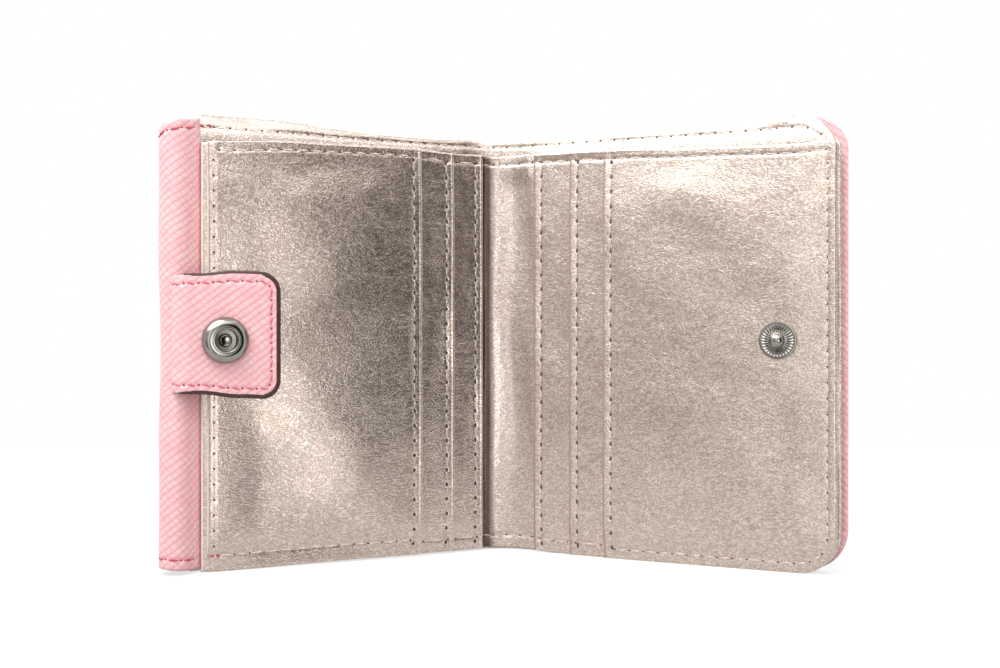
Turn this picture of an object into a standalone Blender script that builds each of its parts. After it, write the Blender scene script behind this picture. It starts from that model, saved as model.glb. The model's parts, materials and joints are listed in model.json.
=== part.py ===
"""Card and coin purse: a two-leaf purse that stands half open, with card slots, a snap tab and a coin pocket.

Metres, +Z up. Each leaf is described by three lengths: s runs out from its crease, n runs from the crease
plane towards the inside of the purse, and z runs up. The crease plane is the inner face of the cover, and a
depth m on the back of the purse is counted from the outer face of the cover. The origin is on the ground,
under the middle of the purse.
"""

import math

import bmesh
import bpy
from mathutils import Vector

# Outside sizes
SPINE_WIDTH = 0.0098
BACK_LEAF_LENGTH = 0.0723
FRONT_LEAF_LENGTH = 0.0736
LINING_TOP = 0.0960
FRONT_CORNER_RADIUS = 0.0090
BACK_COVER_BOTTOM = 0.0008

# How far below the lining's top the other sheets end
COVER_DROP = 0.0004
BACK_COVER_DROP = 0.0012
PANEL_DROP = 0.0045

# Poses of the leaves, measured from a purse that lies flat
REST_LEAN = math.radians(22.5)
CLOSED_LEAN = math.radians(85.8)

# Sheet thicknesses and the room between them
COVER_T = 0.0008
BOARD_T = 0.0004
LINING_T = 0.0004
PANEL_T = 0.0006
SLOT_T = 0.0006
TAB_LAYER_T = 0.0007
SEAT_GAP = 0.0003
BILL_ROOM = 0.0010
FOLD_ROOM = 0.0004

# Insets of one sheet from the edge of another
PANEL_INSET = 0.0011
BOARD_INSET = 0.0030
BOARD_START = 0.0010

# Edge bead of the back leaf, where the cover turns over to the inside
BEAD_RADIUS = 0.0033
STRIP_SLOPE = math.radians(40.0)
LINING_TUCK = 0.0024

# Card slots: the first edge from the fold, then the part of each lower slot that shows
BACK_SLOT_REVEALS = (0.0060, 0.0081)
FRONT_SLOT_SETBACK = 0.0025
FRONT_SLOT_REVEALS = (0.0089, 0.0080)

# Closure tab
TAB_REACH = 0.0209
TAB_ROOT_HEIGHT = 0.0236
TAB_END_HEIGHT = 0.0264
TAB_CENTRE_Z = 0.0496
TAB_CORNER_RADIUS = 0.0042
TAB_ROOT_DEPTH = 0.0061

# Snap on the tab and on the front leaf
SNAP_Z = 0.0487
SOCKET_FROM_TAB_END = 0.0117
SOCKET_RADIUS = 0.00485
SOCKET_MOUTH_RADIUS = 0.0023
SOCKET_HEIGHT = 0.0024
SOCKET_CAVITY_RADIUS = 0.0034
SOCKET_CAVITY_HEIGHT = 0.0013
SPRING_WIRE_RADIUS = 0.00025
CAP_RADIUS = 0.0045
CAP_T = 0.0004
CAP_BARREL_RADIUS = 0.0014
STUD_BASE_RADIUS = 0.00395
STUD_BASE_T = 0.0005
STUD_BALL_RADIUS = 0.0017
STUD_NECK_RADIUS = 0.0013
STUD_BALL_HEIGHT = 0.0021
RIVET_HEAD_RADIUS = 0.0035
RIVET_BARREL_RADIUS = 0.0007
BARREL_ROOM = 0.0003

# Coin pocket on the outside of the back leaf
COIN_BASE_T = 0.0008
COIN_BASE_START = 0.0060
COIN_BASE_MARGIN = 0.0038
COIN_BASE_DROP = 0.0033
COIN_BASE_CORNER = 0.0030
POCKET_END_MARGIN = 0.0060
POCKET_START_MARGIN = 0.0030
POCKET_BOTTOM = 0.0040
POCKET_MOUTH_DROP = 0.0255
POCKET_CORNER = 0.0090
GUSSET_DEPTH = 0.0059
GUSSET_T = 0.0006
GUSSET_FOLD = 0.0014
GUSSET_INSET = 0.0016
WALL_LINING_T = 0.0004

# Coin flap: its crease below the base's top, its knee above the pocket's mouth and its lower edge below it
FLAP_AXIS_DROP = 0.0075
FLAP_KNEE_RISE = 0.0040
FLAP_HANG = 0.0275
FLAP_INSET = 0.0008
FLAP_CORNER = 0.0100
FLAP_KNEE_RADIUS = 0.0040
FLAP_LINING_T = 0.0004
FLAP_LINING_SETBACK = 0.0012
FLAP_ROOT_T = 0.0008
FLAP_ROOT_HEIGHT = 0.0057

# Coin snap
COIN_SNAP_DROP = 0.0160
COIN_SOCKET_RADIUS = 0.0042
COIN_SOCKET_MOUTH = 0.0016
COIN_SOCKET_HEIGHT = 0.0020
COIN_CAVITY_RADIUS = 0.0026
COIN_CAVITY_HEIGHT = 0.0010
COIN_SPRING_WIRE_RADIUS = 0.0002
COIN_CAP_RADIUS = 0.0052
COIN_CAP_HEIGHT = 0.0014
COIN_CAP_BARREL_RADIUS = 0.0009
COIN_STUD_BASE_RADIUS = 0.0036
COIN_STUD_BASE_T = 0.0003
COIN_STUD_BALL_RADIUS = 0.0011
COIN_STUD_NECK_RADIUS = 0.00095
COIN_STUD_BALL_HEIGHT = 0.00095
COIN_BARREL_RADIUS = 0.00045

# How far a cap's barrel reaches into its socket, and the opening of a ring spring
BARREL_REACH = 0.00015
SPRING_OPENING = math.radians(30.0)

# A snap's dome and cap from the rim up, as shares of its radius and height
SOCKET_DOME_RATIOS = ((1.0, 0.0), (1.0, 0.25), (0.94, 0.60), (0.82, 0.86))
SOCKET_LIP_RATIOS = ((1.12, 0.12), (1.0, 0.40))
CAP_DOME_RATIOS = ((0.0, 1.0), (0.45, 0.92), (0.80, 0.62), (1.0, 0.25), (1.0, 0.0))

# Fineness of round shapes
TURNED_SIDES = 32
WIRE_SIDES = 8
SPRING_STEPS = 24
ARC_STEPS = 10
SMOOTH_ANGLE = math.radians(35.0)

# Upper edges of the sheets
COVER_TOP = LINING_TOP - COVER_DROP
BACK_COVER_TOP = LINING_TOP - BACK_COVER_DROP
PANEL_TOP = LINING_TOP - PANEL_DROP

# Places in the stack of a leaf, as n of each sheet's outer face
BOARD_N = SEAT_GAP
LINING_N = BOARD_N + BOARD_T + SEAT_GAP
PANEL_N = LINING_N + LINING_T + BILL_ROOM
SLOT_PITCH = SLOT_T + SEAT_GAP
SLOT_COUNT = len(BACK_SLOT_REVEALS) + 1
FIRST_SLOT_N = PANEL_N + PANEL_T + SEAT_GAP
STACK_TOP = FIRST_SLOT_N + (SLOT_COUNT - 1) * SLOT_PITCH + SLOT_T

# The soft spine has no board, so its sheets lie closer
SPINE_LINING_N = SEAT_GAP
SPINE_PANEL_N = SPINE_LINING_N + LINING_T + SEAT_GAP
SPINE_TOP = SPINE_PANEL_N + PANEL_T
STACK_START = SPINE_TOP + FOLD_ROOM

# The bead's centre, and where its strip ends beside the inner panel
BEAD_CENTRE_S = BACK_LEAF_LENGTH - BEAD_RADIUS
BEAD_CENTRE_N = BEAD_RADIUS - COVER_T
STRIP_TURN = math.pi / 2 + STRIP_SLOPE
STRIP_END_N = LINING_N + LINING_T + SEAT_GAP + COVER_T * math.cos(STRIP_SLOPE)
STRIP_TOP_S = BEAD_CENTRE_S + BEAD_RADIUS * math.cos(STRIP_TURN)
STRIP_TOP_N = BEAD_CENTRE_N + BEAD_RADIUS * math.sin(STRIP_TURN)
STRIP_END_S = STRIP_TOP_S - (STRIP_TOP_N - STRIP_END_N) / math.tan(STRIP_SLOPE)
BACK_PANEL_END = STRIP_END_S - SEAT_GAP
FRONT_PANEL_END = FRONT_LEAF_LENGTH - PANEL_INSET

# The tab's sheets lie over the cap of its snap and turn about the middle of their thickness
CAP_N = STACK_TOP + SEAT_GAP
TAB_BACKING_N = CAP_N + CAP_T + SEAT_GAP
TAB_FACE_N = TAB_BACKING_N + TAB_LAYER_T + SEAT_GAP
TAB_TOP_N = TAB_FACE_N + TAB_LAYER_T
TAB_AXIS_S = BEAD_CENTRE_S
TAB_AXIS_N = (TAB_BACKING_N + TAB_TOP_N) / 2
TAB_END_S = TAB_AXIS_S - TAB_REACH
SOCKET_S = TAB_END_S + SOCKET_FROM_TAB_END
SOCKET_N = TAB_TOP_N + SEAT_GAP

# The stud lies where its ball meets the socket's axis in the closed purse
BALL_N = STACK_TOP + STUD_BALL_HEIGHT
STUD_S = (SOCKET_S + SPINE_WIDTH * math.cos(CLOSED_LEAN) - BALL_N * math.sin(2 * CLOSED_LEAN)) \
    / -math.cos(2 * CLOSED_LEAN)

# Depths on the back of the purse
COIN_BASE_M = SEAT_GAP
GUSSET_M = COIN_BASE_M + COIN_BASE_T + SEAT_GAP
WALL_LINING_M = GUSSET_M + GUSSET_DEPTH + SEAT_GAP
WALL_M = WALL_LINING_M + WALL_LINING_T + SEAT_GAP
WALL_FACE_M = WALL_M + COVER_T
COIN_STUD_M = WALL_FACE_M + SEAT_GAP
COIN_SOCKET_M = COIN_STUD_M + COIN_STUD_BASE_T + SEAT_GAP
FLAP_LINING_M = COIN_SOCKET_M + COIN_SOCKET_HEIGHT + SEAT_GAP
FLAP_FACE_M = FLAP_LINING_M + FLAP_LINING_T + SEAT_GAP + COVER_T
FLAP_ROOT_M = COIN_BASE_M + COIN_BASE_T + SEAT_GAP
FLAP_AXIS_M = FLAP_ROOT_M + FLAP_ROOT_T + SEAT_GAP

# Places of the coin pocket on the back leaf
COIN_BASE_END = BACK_LEAF_LENGTH - COIN_BASE_MARGIN
COIN_BASE_TOP = BACK_COVER_TOP - COIN_BASE_DROP
POCKET_START = COIN_BASE_START + POCKET_START_MARGIN
POCKET_END = COIN_BASE_END - POCKET_END_MARGIN
POCKET_TOP = COIN_BASE_TOP - POCKET_MOUTH_DROP
POCKET_MIDDLE = (POCKET_START + POCKET_END) / 2
FLAP_AXIS_Z = COIN_BASE_TOP - FLAP_AXIS_DROP
FLAP_KNEE_Z = POCKET_TOP + FLAP_KNEE_RISE
FLAP_BOTTOM = POCKET_TOP - FLAP_HANG
COIN_SNAP_Z = POCKET_TOP - COIN_SNAP_DROP

# Colour, roughness and metallic value of each material
PINK = ((0.82, 0.27, 0.31), 0.50, 0.0)
CHAMPAGNE = ((0.52, 0.44, 0.39), 0.42, 0.45)
NICKEL = ((0.72, 0.70, 0.67), 0.18, 1.0)
STEEL = ((0.45, 0.45, 0.46), 0.30, 1.0)
BOARD = ((0.35, 0.28, 0.20), 0.90, 0.0)


class Body:
    """A rigid group of pieces, with an empty on its joint's axis and the way its local lengths run."""

    def __init__(self, name, parent, location, turn, side, origin):
        self.empty = bpy.data.objects.new(name + "_frame", None)
        bpy.context.scene.collection.objects.link(self.empty)
        self.empty.parent = parent
        self.empty.location = location
        self.empty.rotation_euler = (0.0, 0.0, turn)
        self.side = side
        self.origin = origin

    def at(self, s, n, z):
        """The point (s, n, z) of the leaf in this body's own frame."""
        return (s - self.origin[0], self.side * (n - self.origin[1]), z - self.origin[2])


def clear_scene():
    for old in list(bpy.data.objects):
        bpy.data.objects.remove(old, do_unlink=True)


def new_material(name, look):
    colour, roughness, metallic = look
    material = bpy.data.materials.new(name)
    material.use_nodes = True
    shader = material.node_tree.nodes["Principled BSDF"]
    shader.inputs["Base Color"].default_value = (*colour, 1.0)
    shader.inputs["Roughness"].default_value = roughness
    shader.inputs["Metallic"].default_value = metallic
    return material


def add_piece(name, shape, body, look):
    """Makes an object from points and faces, with its faces turned outwards."""
    points, faces = shape
    mesh = bpy.data.meshes.new(name)
    mesh.from_pydata(points, [], faces)
    work = bmesh.new()
    work.from_mesh(mesh)
    bmesh.ops.recalc_face_normals(work, faces=work.faces)
    work.to_mesh(mesh)
    work.free()
    piece = bpy.data.objects.new(name, mesh)
    bpy.context.scene.collection.objects.link(piece)
    piece.parent = body.empty
    mesh.materials.append(new_material(name + "_finish", look))
    return piece


def add_cutter(name, shape, body):
    cutter = add_piece(name, shape, body, STEEL)
    cutter.hide_render = True
    cutter.display_type = "WIRE"
    return cutter


def cut(piece, cutter):
    boolean = piece.modifiers.new("cut by " + cutter.name, "BOOLEAN")
    boolean.operation = "DIFFERENCE"
    boolean.solver = "EXACT"
    boolean.object = cutter


def smooth(piece):
    piece.data.shade_smooth()
    piece.data.set_sharp_from_angle(angle=SMOOTH_ANGLE)


def prism(outline, low, high, place):
    """A closed plate: an outline of (u, v) points swept from low to high."""
    count = len(outline)
    points = [place(u, v, low) for u, v in outline]
    points += [place(u, v, high) for u, v in outline]
    faces = [tuple(range(count)), tuple(range(2 * count - 1, count - 1, -1))]
    for i in range(count):
        j = (i + 1) % count
        faces.append((i, j, j + count, i + count))
    return points, faces


def loft(rings):
    """A closed solid through rings of equal length, with a flat face on each end."""
    size = len(rings[0])
    points = [point for ring in rings for point in ring]
    faces = []
    for k in range(len(rings) - 1):
        for i in range(size):
            j = (i + 1) % size
            faces.append((k * size + i, k * size + j, (k + 1) * size + j, (k + 1) * size + i))
    faces.append(tuple(range(size)))
    last = (len(rings) - 1) * size
    faces.append(tuple(range(last + size - 1, last - 1, -1)))
    return points, faces


def bent_sheet(side_a, side_b, lows, highs, place):
    """A sheet between two paths of (u, v) points, each station reaching from its low to its high."""
    rings = []
    for a, b, low, high in zip(side_a, side_b, lows, highs):
        rings.append([place(*a, low), place(*a, high), place(*b, high), place(*b, low)])
    return loft(rings)


def turned(profile, place):
    """A solid turned from a closed profile of (radius, height) points; its axis is the height."""
    rings = []
    points = []
    for radius, height in profile:
        steps = 1 if radius == 0.0 else TURNED_SIDES
        ring = []
        for k in range(TURNED_SIDES):
            if k < steps:
                turn = 2 * math.pi * k / TURNED_SIDES
                points.append(place(radius * math.cos(turn), radius * math.sin(turn), height))
            ring.append(len(points) - 1)
        rings.append(ring)
    faces = []
    for ring, following in zip(rings, rings[1:] + rings[:1]):
        for k in range(TURNED_SIDES):
            j = (k + 1) % TURNED_SIDES
            corners = [ring[k], ring[j], following[j], following[k]]
            corners = [c for i, c in enumerate(corners) if c not in corners[:i]]
            if len(corners) > 2:
                faces.append(tuple(corners))
    return points, faces


def arc(centre, radius, start, end, steps=ARC_STEPS):
    """Points on an arc, both ends included; angles in radians from +u towards +v."""
    points = []
    for i in range(steps + 1):
        turn = start + (end - start) * i / steps
        points.append((centre[0] + radius * math.cos(turn), centre[1] + radius * math.sin(turn)))
    return points


def offset_path(path, distance):
    """The path moved to its left by a distance, with mitred corners."""
    moved = []
    for i, point in enumerate(path):
        here = Vector(point)
        before = here - Vector(path[i - 1]) if i > 0 else Vector(path[1]) - here
        after = Vector(path[i + 1]) - here if i < len(path) - 1 else before
        before = before.normalized()
        after = after.normalized()
        left = Vector((-before.y - after.y, before.x + after.x)).normalized()
        stretch = 1.0 / left.dot(Vector((-before.y, before.x)))
        moved.append(tuple(here + left * distance * stretch))
    return moved


def rectangle(start, end, bottom, top):
    return [(start, bottom), (end, bottom), (end, top), (start, top)]


def rounded_outline(start, end, bottom, top, low_radius, high_radius):
    """A rectangle with round lower corners, and round upper corners unless high_radius is zero."""
    quarter = math.pi / 2
    outline = arc((start + low_radius, bottom + low_radius), low_radius, 2 * quarter, 3 * quarter)
    outline += arc((end - low_radius, bottom + low_radius), low_radius, -quarter, 0.0)
    if high_radius == 0.0:
        return outline + [(end, top), (start, top)]
    outline += arc((end - high_radius, top - high_radius), high_radius, 0.0, quarter)
    outline += arc((start + high_radius, top - high_radius), high_radius, quarter, 2 * quarter)
    return outline


def front_outline(start, inset, full_top, top):
    """A sheet of the front leaf: round outer corners, the upper one cut off level at top."""
    radius = FRONT_CORNER_RADIUS - inset / 2
    end = FRONT_LEAF_LENGTH - inset
    rise = full_top - radius
    last = math.asin(min(1.0, max(0.0, (top - rise) / radius)))
    outline = [(start, 0.0)]
    outline += arc((end - radius, radius), radius, -math.pi / 2, 0.0)
    outline += arc((end - radius, rise), radius, 0.0, last)
    outline[-1] = (outline[-1][0], top)
    return outline + [(start, top)]


def plate(name, outline, n, thickness, body, look):
    """A flat sheet of a leaf: an outline in (s, z), from n to n + thickness."""
    shape = prism(outline, n, n + thickness, lambda s, z, depth: body.at(s, depth, z))
    return add_piece(name, shape, body, look)


def round_hole(name, s, z, radius, body):
    """A cutter for a round hole through every sheet of a body at (s, z)."""
    reach = BACK_LEAF_LENGTH / 2
    profile = [(0.0, -reach), (radius, -reach), (radius, reach), (0.0, reach)]
    return add_cutter(name, turned(profile, lambda u, v, h: body.at(s + u, h, z + v)), body)


def turned_piece(name, profile, s, n, z, body, look, outwards=1):
    """A turned piece that stands on the sheet at (s, n, z); its height runs towards +n or -n."""
    shape = turned(profile, lambda u, v, h: body.at(s + u, n + outwards * h, z + v))
    piece = add_piece(name, shape, body, look)
    smooth(piece)
    return piece


def make_cover_spine(spine):
    half = SPINE_WIDTH / 2 - SEAT_GAP / 2
    plate("cover_spine", rectangle(-half, half, 0.0, COVER_TOP), -COVER_T, COVER_T, spine, PINK)


def make_spine_layers(spine):
    half = SPINE_WIDTH / 2 - SEAT_GAP
    plate("bill_lining_spine", rectangle(-half, half, 0.0, LINING_TOP), SPINE_LINING_N, LINING_T, spine,
          CHAMPAGNE)
    plate("inner_panel_spine", rectangle(-half, half, 0.0, PANEL_TOP), SPINE_PANEL_N, PANEL_T, spine,
          CHAMPAGNE)


def make_cover_back(back):
    """The back cover turns over the leaf's outer edge as a bead and ends in a strip on the inside."""
    outer = [(SEAT_GAP / 2, -COVER_T)]
    outer += arc((BEAD_CENTRE_S, BEAD_CENTRE_N), BEAD_RADIUS, -math.pi / 2, STRIP_TURN, 2 * ARC_STEPS)
    outer.append((STRIP_END_S, STRIP_END_N))
    inner = offset_path(outer, COVER_T)
    lows = [BACK_COVER_BOTTOM] * len(outer)
    highs = [BACK_COVER_TOP] * len(outer)
    cover = add_piece("cover_back", bent_sheet(outer, inner, lows, highs, back.at), back, PINK)
    half = TAB_LAYER_T + SEAT_GAP / 2 + SEAT_GAP
    low = TAB_CENTRE_Z - TAB_ROOT_HEIGHT / 2 - SEAT_GAP
    high = TAB_CENTRE_Z + TAB_ROOT_HEIGHT / 2 + SEAT_GAP
    slit = rectangle(TAB_AXIS_S - half, TAB_AXIS_S + half, BEAD_CENTRE_N, TAB_AXIS_N)
    cut(cover, add_cutter("tab_slit", prism(slit, low, high, back.at), back))
    smooth(cover)


def make_back_layers(back):
    board = rectangle(STACK_START + BOARD_START, BACK_PANEL_END - BOARD_INSET, BOARD_INSET,
                      BACK_COVER_TOP - BOARD_INSET)
    plate("stiffener_back", board, BOARD_N, BOARD_T, back, BOARD)
    lining = rectangle(STACK_START, STRIP_END_S + LINING_TUCK, 0.0, LINING_TOP)
    plate("bill_lining_back", lining, LINING_N, LINING_T, back, CHAMPAGNE)
    panel = rectangle(STACK_START, BACK_PANEL_END, 0.0, PANEL_TOP)
    plate("inner_panel_back", panel, PANEL_N, PANEL_T, back, CHAMPAGNE)


def slot_starts(first, reveals):
    starts = [first]
    for reveal in reveals:
        starts.append(starts[-1] + reveal)
    return starts


def make_back_slots(back):
    for i, start in enumerate(slot_starts(STACK_START, BACK_SLOT_REVEALS)):
        outline = rectangle(start, BACK_PANEL_END, 0.0, PANEL_TOP)
        n = FIRST_SLOT_N + i * SLOT_PITCH
        plate(f"card_slot_back_{i + 1}", outline, n, SLOT_T, back, CHAMPAGNE)


def make_cover_front(front):
    outline = front_outline(SEAT_GAP / 2, 0.0, COVER_TOP, COVER_TOP)
    plate("cover_front", outline, -COVER_T, COVER_T, front, PINK)


def make_front_layers(front):
    hole = round_hole("stud_hole", STUD_S, SNAP_Z, RIVET_BARREL_RADIUS + BARREL_ROOM, front)
    board = rectangle(STACK_START + BOARD_START, FRONT_PANEL_END - BOARD_INSET, BOARD_INSET,
                      COVER_TOP - BOARD_INSET)
    plate("stiffener_front", board, BOARD_N, BOARD_T, front, BOARD)
    lining = front_outline(STACK_START, PANEL_INSET, LINING_TOP, LINING_TOP)
    plate("bill_lining_front", lining, LINING_N, LINING_T, front, CHAMPAGNE)
    panel = front_outline(STACK_START, PANEL_INSET, LINING_TOP, PANEL_TOP)
    cut(plate("inner_panel_front", panel, PANEL_N, PANEL_T, front, CHAMPAGNE), hole)
    first = STACK_START + FRONT_SLOT_SETBACK
    for i, start in enumerate(slot_starts(first, FRONT_SLOT_REVEALS)):
        outline = front_outline(start, PANEL_INSET, LINING_TOP, PANEL_TOP)
        n = FIRST_SLOT_N + i * SLOT_PITCH
        cut(plate(f"card_slot_front_{i + 1}", outline, n, SLOT_T, front, CHAMPAGNE), hole)


def stud_profile(base_radius, base_t, neck_radius, ball_radius, ball_height, bore_radius):
    """A snap stud: a stepped base, a neck and a round head, with a blind bore for its rivet."""
    drop = math.asin(neck_radius / ball_radius)
    centre = (0.0, ball_height)
    head = arc(centre, ball_radius, -math.pi / 2 + drop, math.pi / 2, ARC_STEPS)
    head[-1] = (0.0, ball_height + ball_radius)
    profile = [(bore_radius, 0.0), (base_radius - base_t, 0.0), (base_radius, base_t / 2),
               (base_radius - base_t / 2, base_t), (neck_radius, base_t)]
    profile += head
    profile += [(0.0, ball_height), (bore_radius, ball_height)]
    return profile


def make_stud(front):
    bore = RIVET_BARREL_RADIUS + BARREL_ROOM
    height = STUD_BALL_HEIGHT - SEAT_GAP
    profile = stud_profile(STUD_BASE_RADIUS, STUD_BASE_T, STUD_NECK_RADIUS, STUD_BALL_RADIUS, height, bore)
    turned_piece("snap_stud", profile, STUD_S, STACK_TOP + SEAT_GAP, SNAP_Z, front, NICKEL)
    head_t = BILL_ROOM - 2 * SEAT_GAP
    head_n = PANEL_N - SEAT_GAP - head_t
    top = STACK_TOP + SEAT_GAP + height - BARREL_ROOM - head_n
    rivet = [(0.0, 0.0), (RIVET_HEAD_RADIUS, 0.0), (RIVET_HEAD_RADIUS, head_t),
             (RIVET_BARREL_RADIUS, head_t), (RIVET_BARREL_RADIUS, top), (0.0, top)]
    turned_piece("snap_stud_rivet", rivet, STUD_S, head_n, SNAP_Z, front, STEEL)


def tab_outline():
    """The tab flares from its root to its free end, which has round corners."""
    low = TAB_CENTRE_Z - TAB_END_HEIGHT / 2
    high = TAB_CENTRE_Z + TAB_END_HEIGHT / 2
    root_low = TAB_CENTRE_Z - TAB_ROOT_HEIGHT / 2
    root_high = TAB_CENTRE_Z + TAB_ROOT_HEIGHT / 2
    centre = TAB_END_S + TAB_CORNER_RADIUS
    outline = [(TAB_AXIS_S, root_high)]
    outline += arc((centre, high - TAB_CORNER_RADIUS), TAB_CORNER_RADIUS, math.pi / 2, math.pi)
    outline += arc((centre, low + TAB_CORNER_RADIUS), TAB_CORNER_RADIUS, math.pi, 1.5 * math.pi)
    outline.append((TAB_AXIS_S, root_low))
    return outline


def make_tab_anchor(back):
    """The tab's sewn root stands in the bead and comes out through the slit at its crest."""
    half = TAB_LAYER_T + SEAT_GAP / 2
    top = TAB_BACKING_N - SEAT_GAP
    profile = rectangle(TAB_AXIS_S - half, TAB_AXIS_S + half, top - TAB_ROOT_DEPTH, top)
    low = TAB_CENTRE_Z - TAB_ROOT_HEIGHT / 2
    high = TAB_CENTRE_Z + TAB_ROOT_HEIGHT / 2
    add_piece("tab_anchor", prism(profile, low, high, back.at), back, PINK)


def socket_profile(radius, mouth, height, cavity_radius, cavity_height):
    """A domed ring: a wide cavity for the ring spring below, a narrower mouth above."""
    rise = height - cavity_height
    profile = [(share * radius, part_up * height) for share, part_up in SOCKET_DOME_RATIOS]
    profile.append(((radius + mouth) / 2, height))
    profile += [(share * mouth, height - part_down * rise) for share, part_down in SOCKET_LIP_RATIOS]
    return profile + [(mouth, cavity_height), (cavity_radius, cavity_height), (cavity_radius, 0.0)]


def ring_spring(name, radius, wire, s, n, z, body, outwards=1):
    """A split ring of wire that lies flat; its gap faces down."""
    first = (SPRING_OPENING - math.pi) / 2
    sweep = 2 * math.pi - SPRING_OPENING
    rings = []
    for k in range(SPRING_STEPS + 1):
        turn = first + sweep * k / SPRING_STEPS
        ring = []
        for j in range(WIRE_SIDES):
            round_turn = 2 * math.pi * j / WIRE_SIDES
            reach = radius + wire * math.cos(round_turn)
            height = wire + wire * math.sin(round_turn)
            ring.append(body.at(s + reach * math.cos(turn), n + outwards * height,
                                z + reach * math.sin(turn)))
        rings.append(ring)
    piece = add_piece(name, loft(rings), body, STEEL)
    smooth(piece)


def make_tab(tab):
    hole = round_hole("tab_hole", SOCKET_S, SNAP_Z, CAP_BARREL_RADIUS + BARREL_ROOM, tab)
    cut(plate("tab_backing", tab_outline(), TAB_BACKING_N, TAB_LAYER_T, tab, PINK), hole)
    cut(plate("tab_face", tab_outline(), TAB_FACE_N, TAB_LAYER_T, tab, PINK), hole)


def make_tab_snap(tab):
    profile = socket_profile(SOCKET_RADIUS, SOCKET_MOUTH_RADIUS, SOCKET_HEIGHT, SOCKET_CAVITY_RADIUS,
                             SOCKET_CAVITY_HEIGHT)
    turned_piece("snap_socket", profile, SOCKET_S, SOCKET_N, SNAP_Z, tab, NICKEL)
    spring_radius = SOCKET_CAVITY_RADIUS - SEAT_GAP - SPRING_WIRE_RADIUS
    spring_n = SOCKET_N + SOCKET_CAVITY_HEIGHT - SEAT_GAP - 2 * SPRING_WIRE_RADIUS
    ring_spring("snap_spring", spring_radius, SPRING_WIRE_RADIUS, SOCKET_S, spring_n, SNAP_Z, tab)
    top = SOCKET_N + BARREL_REACH - CAP_N
    edge = CAP_T / 2
    cap = [(0.0, 0.0), (CAP_RADIUS - edge, 0.0), (CAP_RADIUS, edge), (CAP_RADIUS, CAP_T),
           (CAP_BARREL_RADIUS, CAP_T), (CAP_BARREL_RADIUS, top), (0.0, top)]
    turned_piece("snap_socket_cap", cap, SOCKET_S, CAP_N, SNAP_Z, tab, NICKEL)


def back_plate(name, outline, m, thickness, body, look):
    """A flat sheet on the back of the purse, from depth m to m + thickness."""
    return plate(name, outline, -COVER_T - m - thickness, thickness, body, look)


def make_coin_base(back):
    outline = rounded_outline(COIN_BASE_START, COIN_BASE_END, 0.0, COIN_BASE_TOP, COIN_BASE_CORNER,
                              COIN_BASE_CORNER)
    back_plate("coin_pocket_base", outline, COIN_BASE_M, COIN_BASE_T, back, PINK)


def make_coin_gusset(back):
    """A strip that goes down one side, along the bottom and up the other, with a fold to the inside."""
    start = POCKET_START + GUSSET_INSET
    end = POCKET_END - GUSSET_INSET
    bottom = POCKET_BOTTOM + GUSSET_INSET
    radius = POCKET_CORNER - GUSSET_INSET
    path = [(start, POCKET_TOP)]
    path += arc((start + radius, bottom + radius), radius, math.pi, 1.5 * math.pi)
    path += arc((end - radius, bottom + radius), radius, -math.pi / 2, 0.0)
    path.append((end, POCKET_TOP))
    fold = offset_path(path, GUSSET_FOLD)
    inner = offset_path(path, GUSSET_T)
    inner_fold = offset_path(path, GUSSET_FOLD + GUSSET_T)
    near = -COVER_T - GUSSET_M
    middle = near - GUSSET_DEPTH / 2
    far = near - GUSSET_DEPTH
    rings = []
    for a, b, c, d in zip(path, fold, inner, inner_fold):
        corners = [(a, near), (b, middle), (a, far), (c, far), (d, middle), (c, near)]
        rings.append([back.at(s, n, z) for (s, z), n in corners])
    add_piece("coin_pocket_gusset", loft(rings), back, PINK)


def make_coin_wall(back):
    hole = round_hole("coin_stud_hole", POCKET_MIDDLE, COIN_SNAP_Z, COIN_BARREL_RADIUS + BARREL_ROOM, back)
    outline = rounded_outline(POCKET_START, POCKET_END, POCKET_BOTTOM, POCKET_TOP, POCKET_CORNER, 0.0)
    cut(back_plate("coin_pocket_lining", outline, WALL_LINING_M, WALL_LINING_T, back, CHAMPAGNE), hole)
    cut(back_plate("coin_pocket_wall", outline, WALL_M, COVER_T, back, PINK), hole)


def make_coin_stud(back):
    bore = COIN_BARREL_RADIUS + BARREL_ROOM
    profile = stud_profile(COIN_STUD_BASE_RADIUS, COIN_STUD_BASE_T, COIN_STUD_NECK_RADIUS,
                           COIN_STUD_BALL_RADIUS, COIN_STUD_BALL_HEIGHT, bore)
    turned_piece("coin_snap_stud", profile, POCKET_MIDDLE, -COVER_T - COIN_STUD_M, COIN_SNAP_Z, back,
                 NICKEL, -1)
    head_m = WALL_LINING_M - SEAT_GAP - COIN_STUD_BASE_T
    top = COIN_STUD_M + COIN_STUD_BALL_HEIGHT - BARREL_ROOM - head_m
    rivet = [(0.0, 0.0), (COIN_STUD_BASE_RADIUS, 0.0), (COIN_STUD_BASE_RADIUS, COIN_STUD_BASE_T),
             (COIN_BARREL_RADIUS, COIN_STUD_BASE_T), (COIN_BARREL_RADIUS, top), (0.0, top)]
    turned_piece("coin_snap_rivet", rivet, POCKET_MIDDLE, -COVER_T - head_m, COIN_SNAP_Z, back, STEEL, -1)


def make_flap_root(back):
    """The strip by which the flap's leather is sewn to the pocket's base, above the flap's crease."""
    outline = rectangle(POCKET_START + FLAP_INSET, POCKET_END - FLAP_INSET, FLAP_AXIS_Z + SEAT_GAP,
                        FLAP_AXIS_Z + SEAT_GAP + FLAP_ROOT_HEIGHT)
    back_plate("coin_flap_root", outline, FLAP_ROOT_M, FLAP_ROOT_T, back, PINK)


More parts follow.
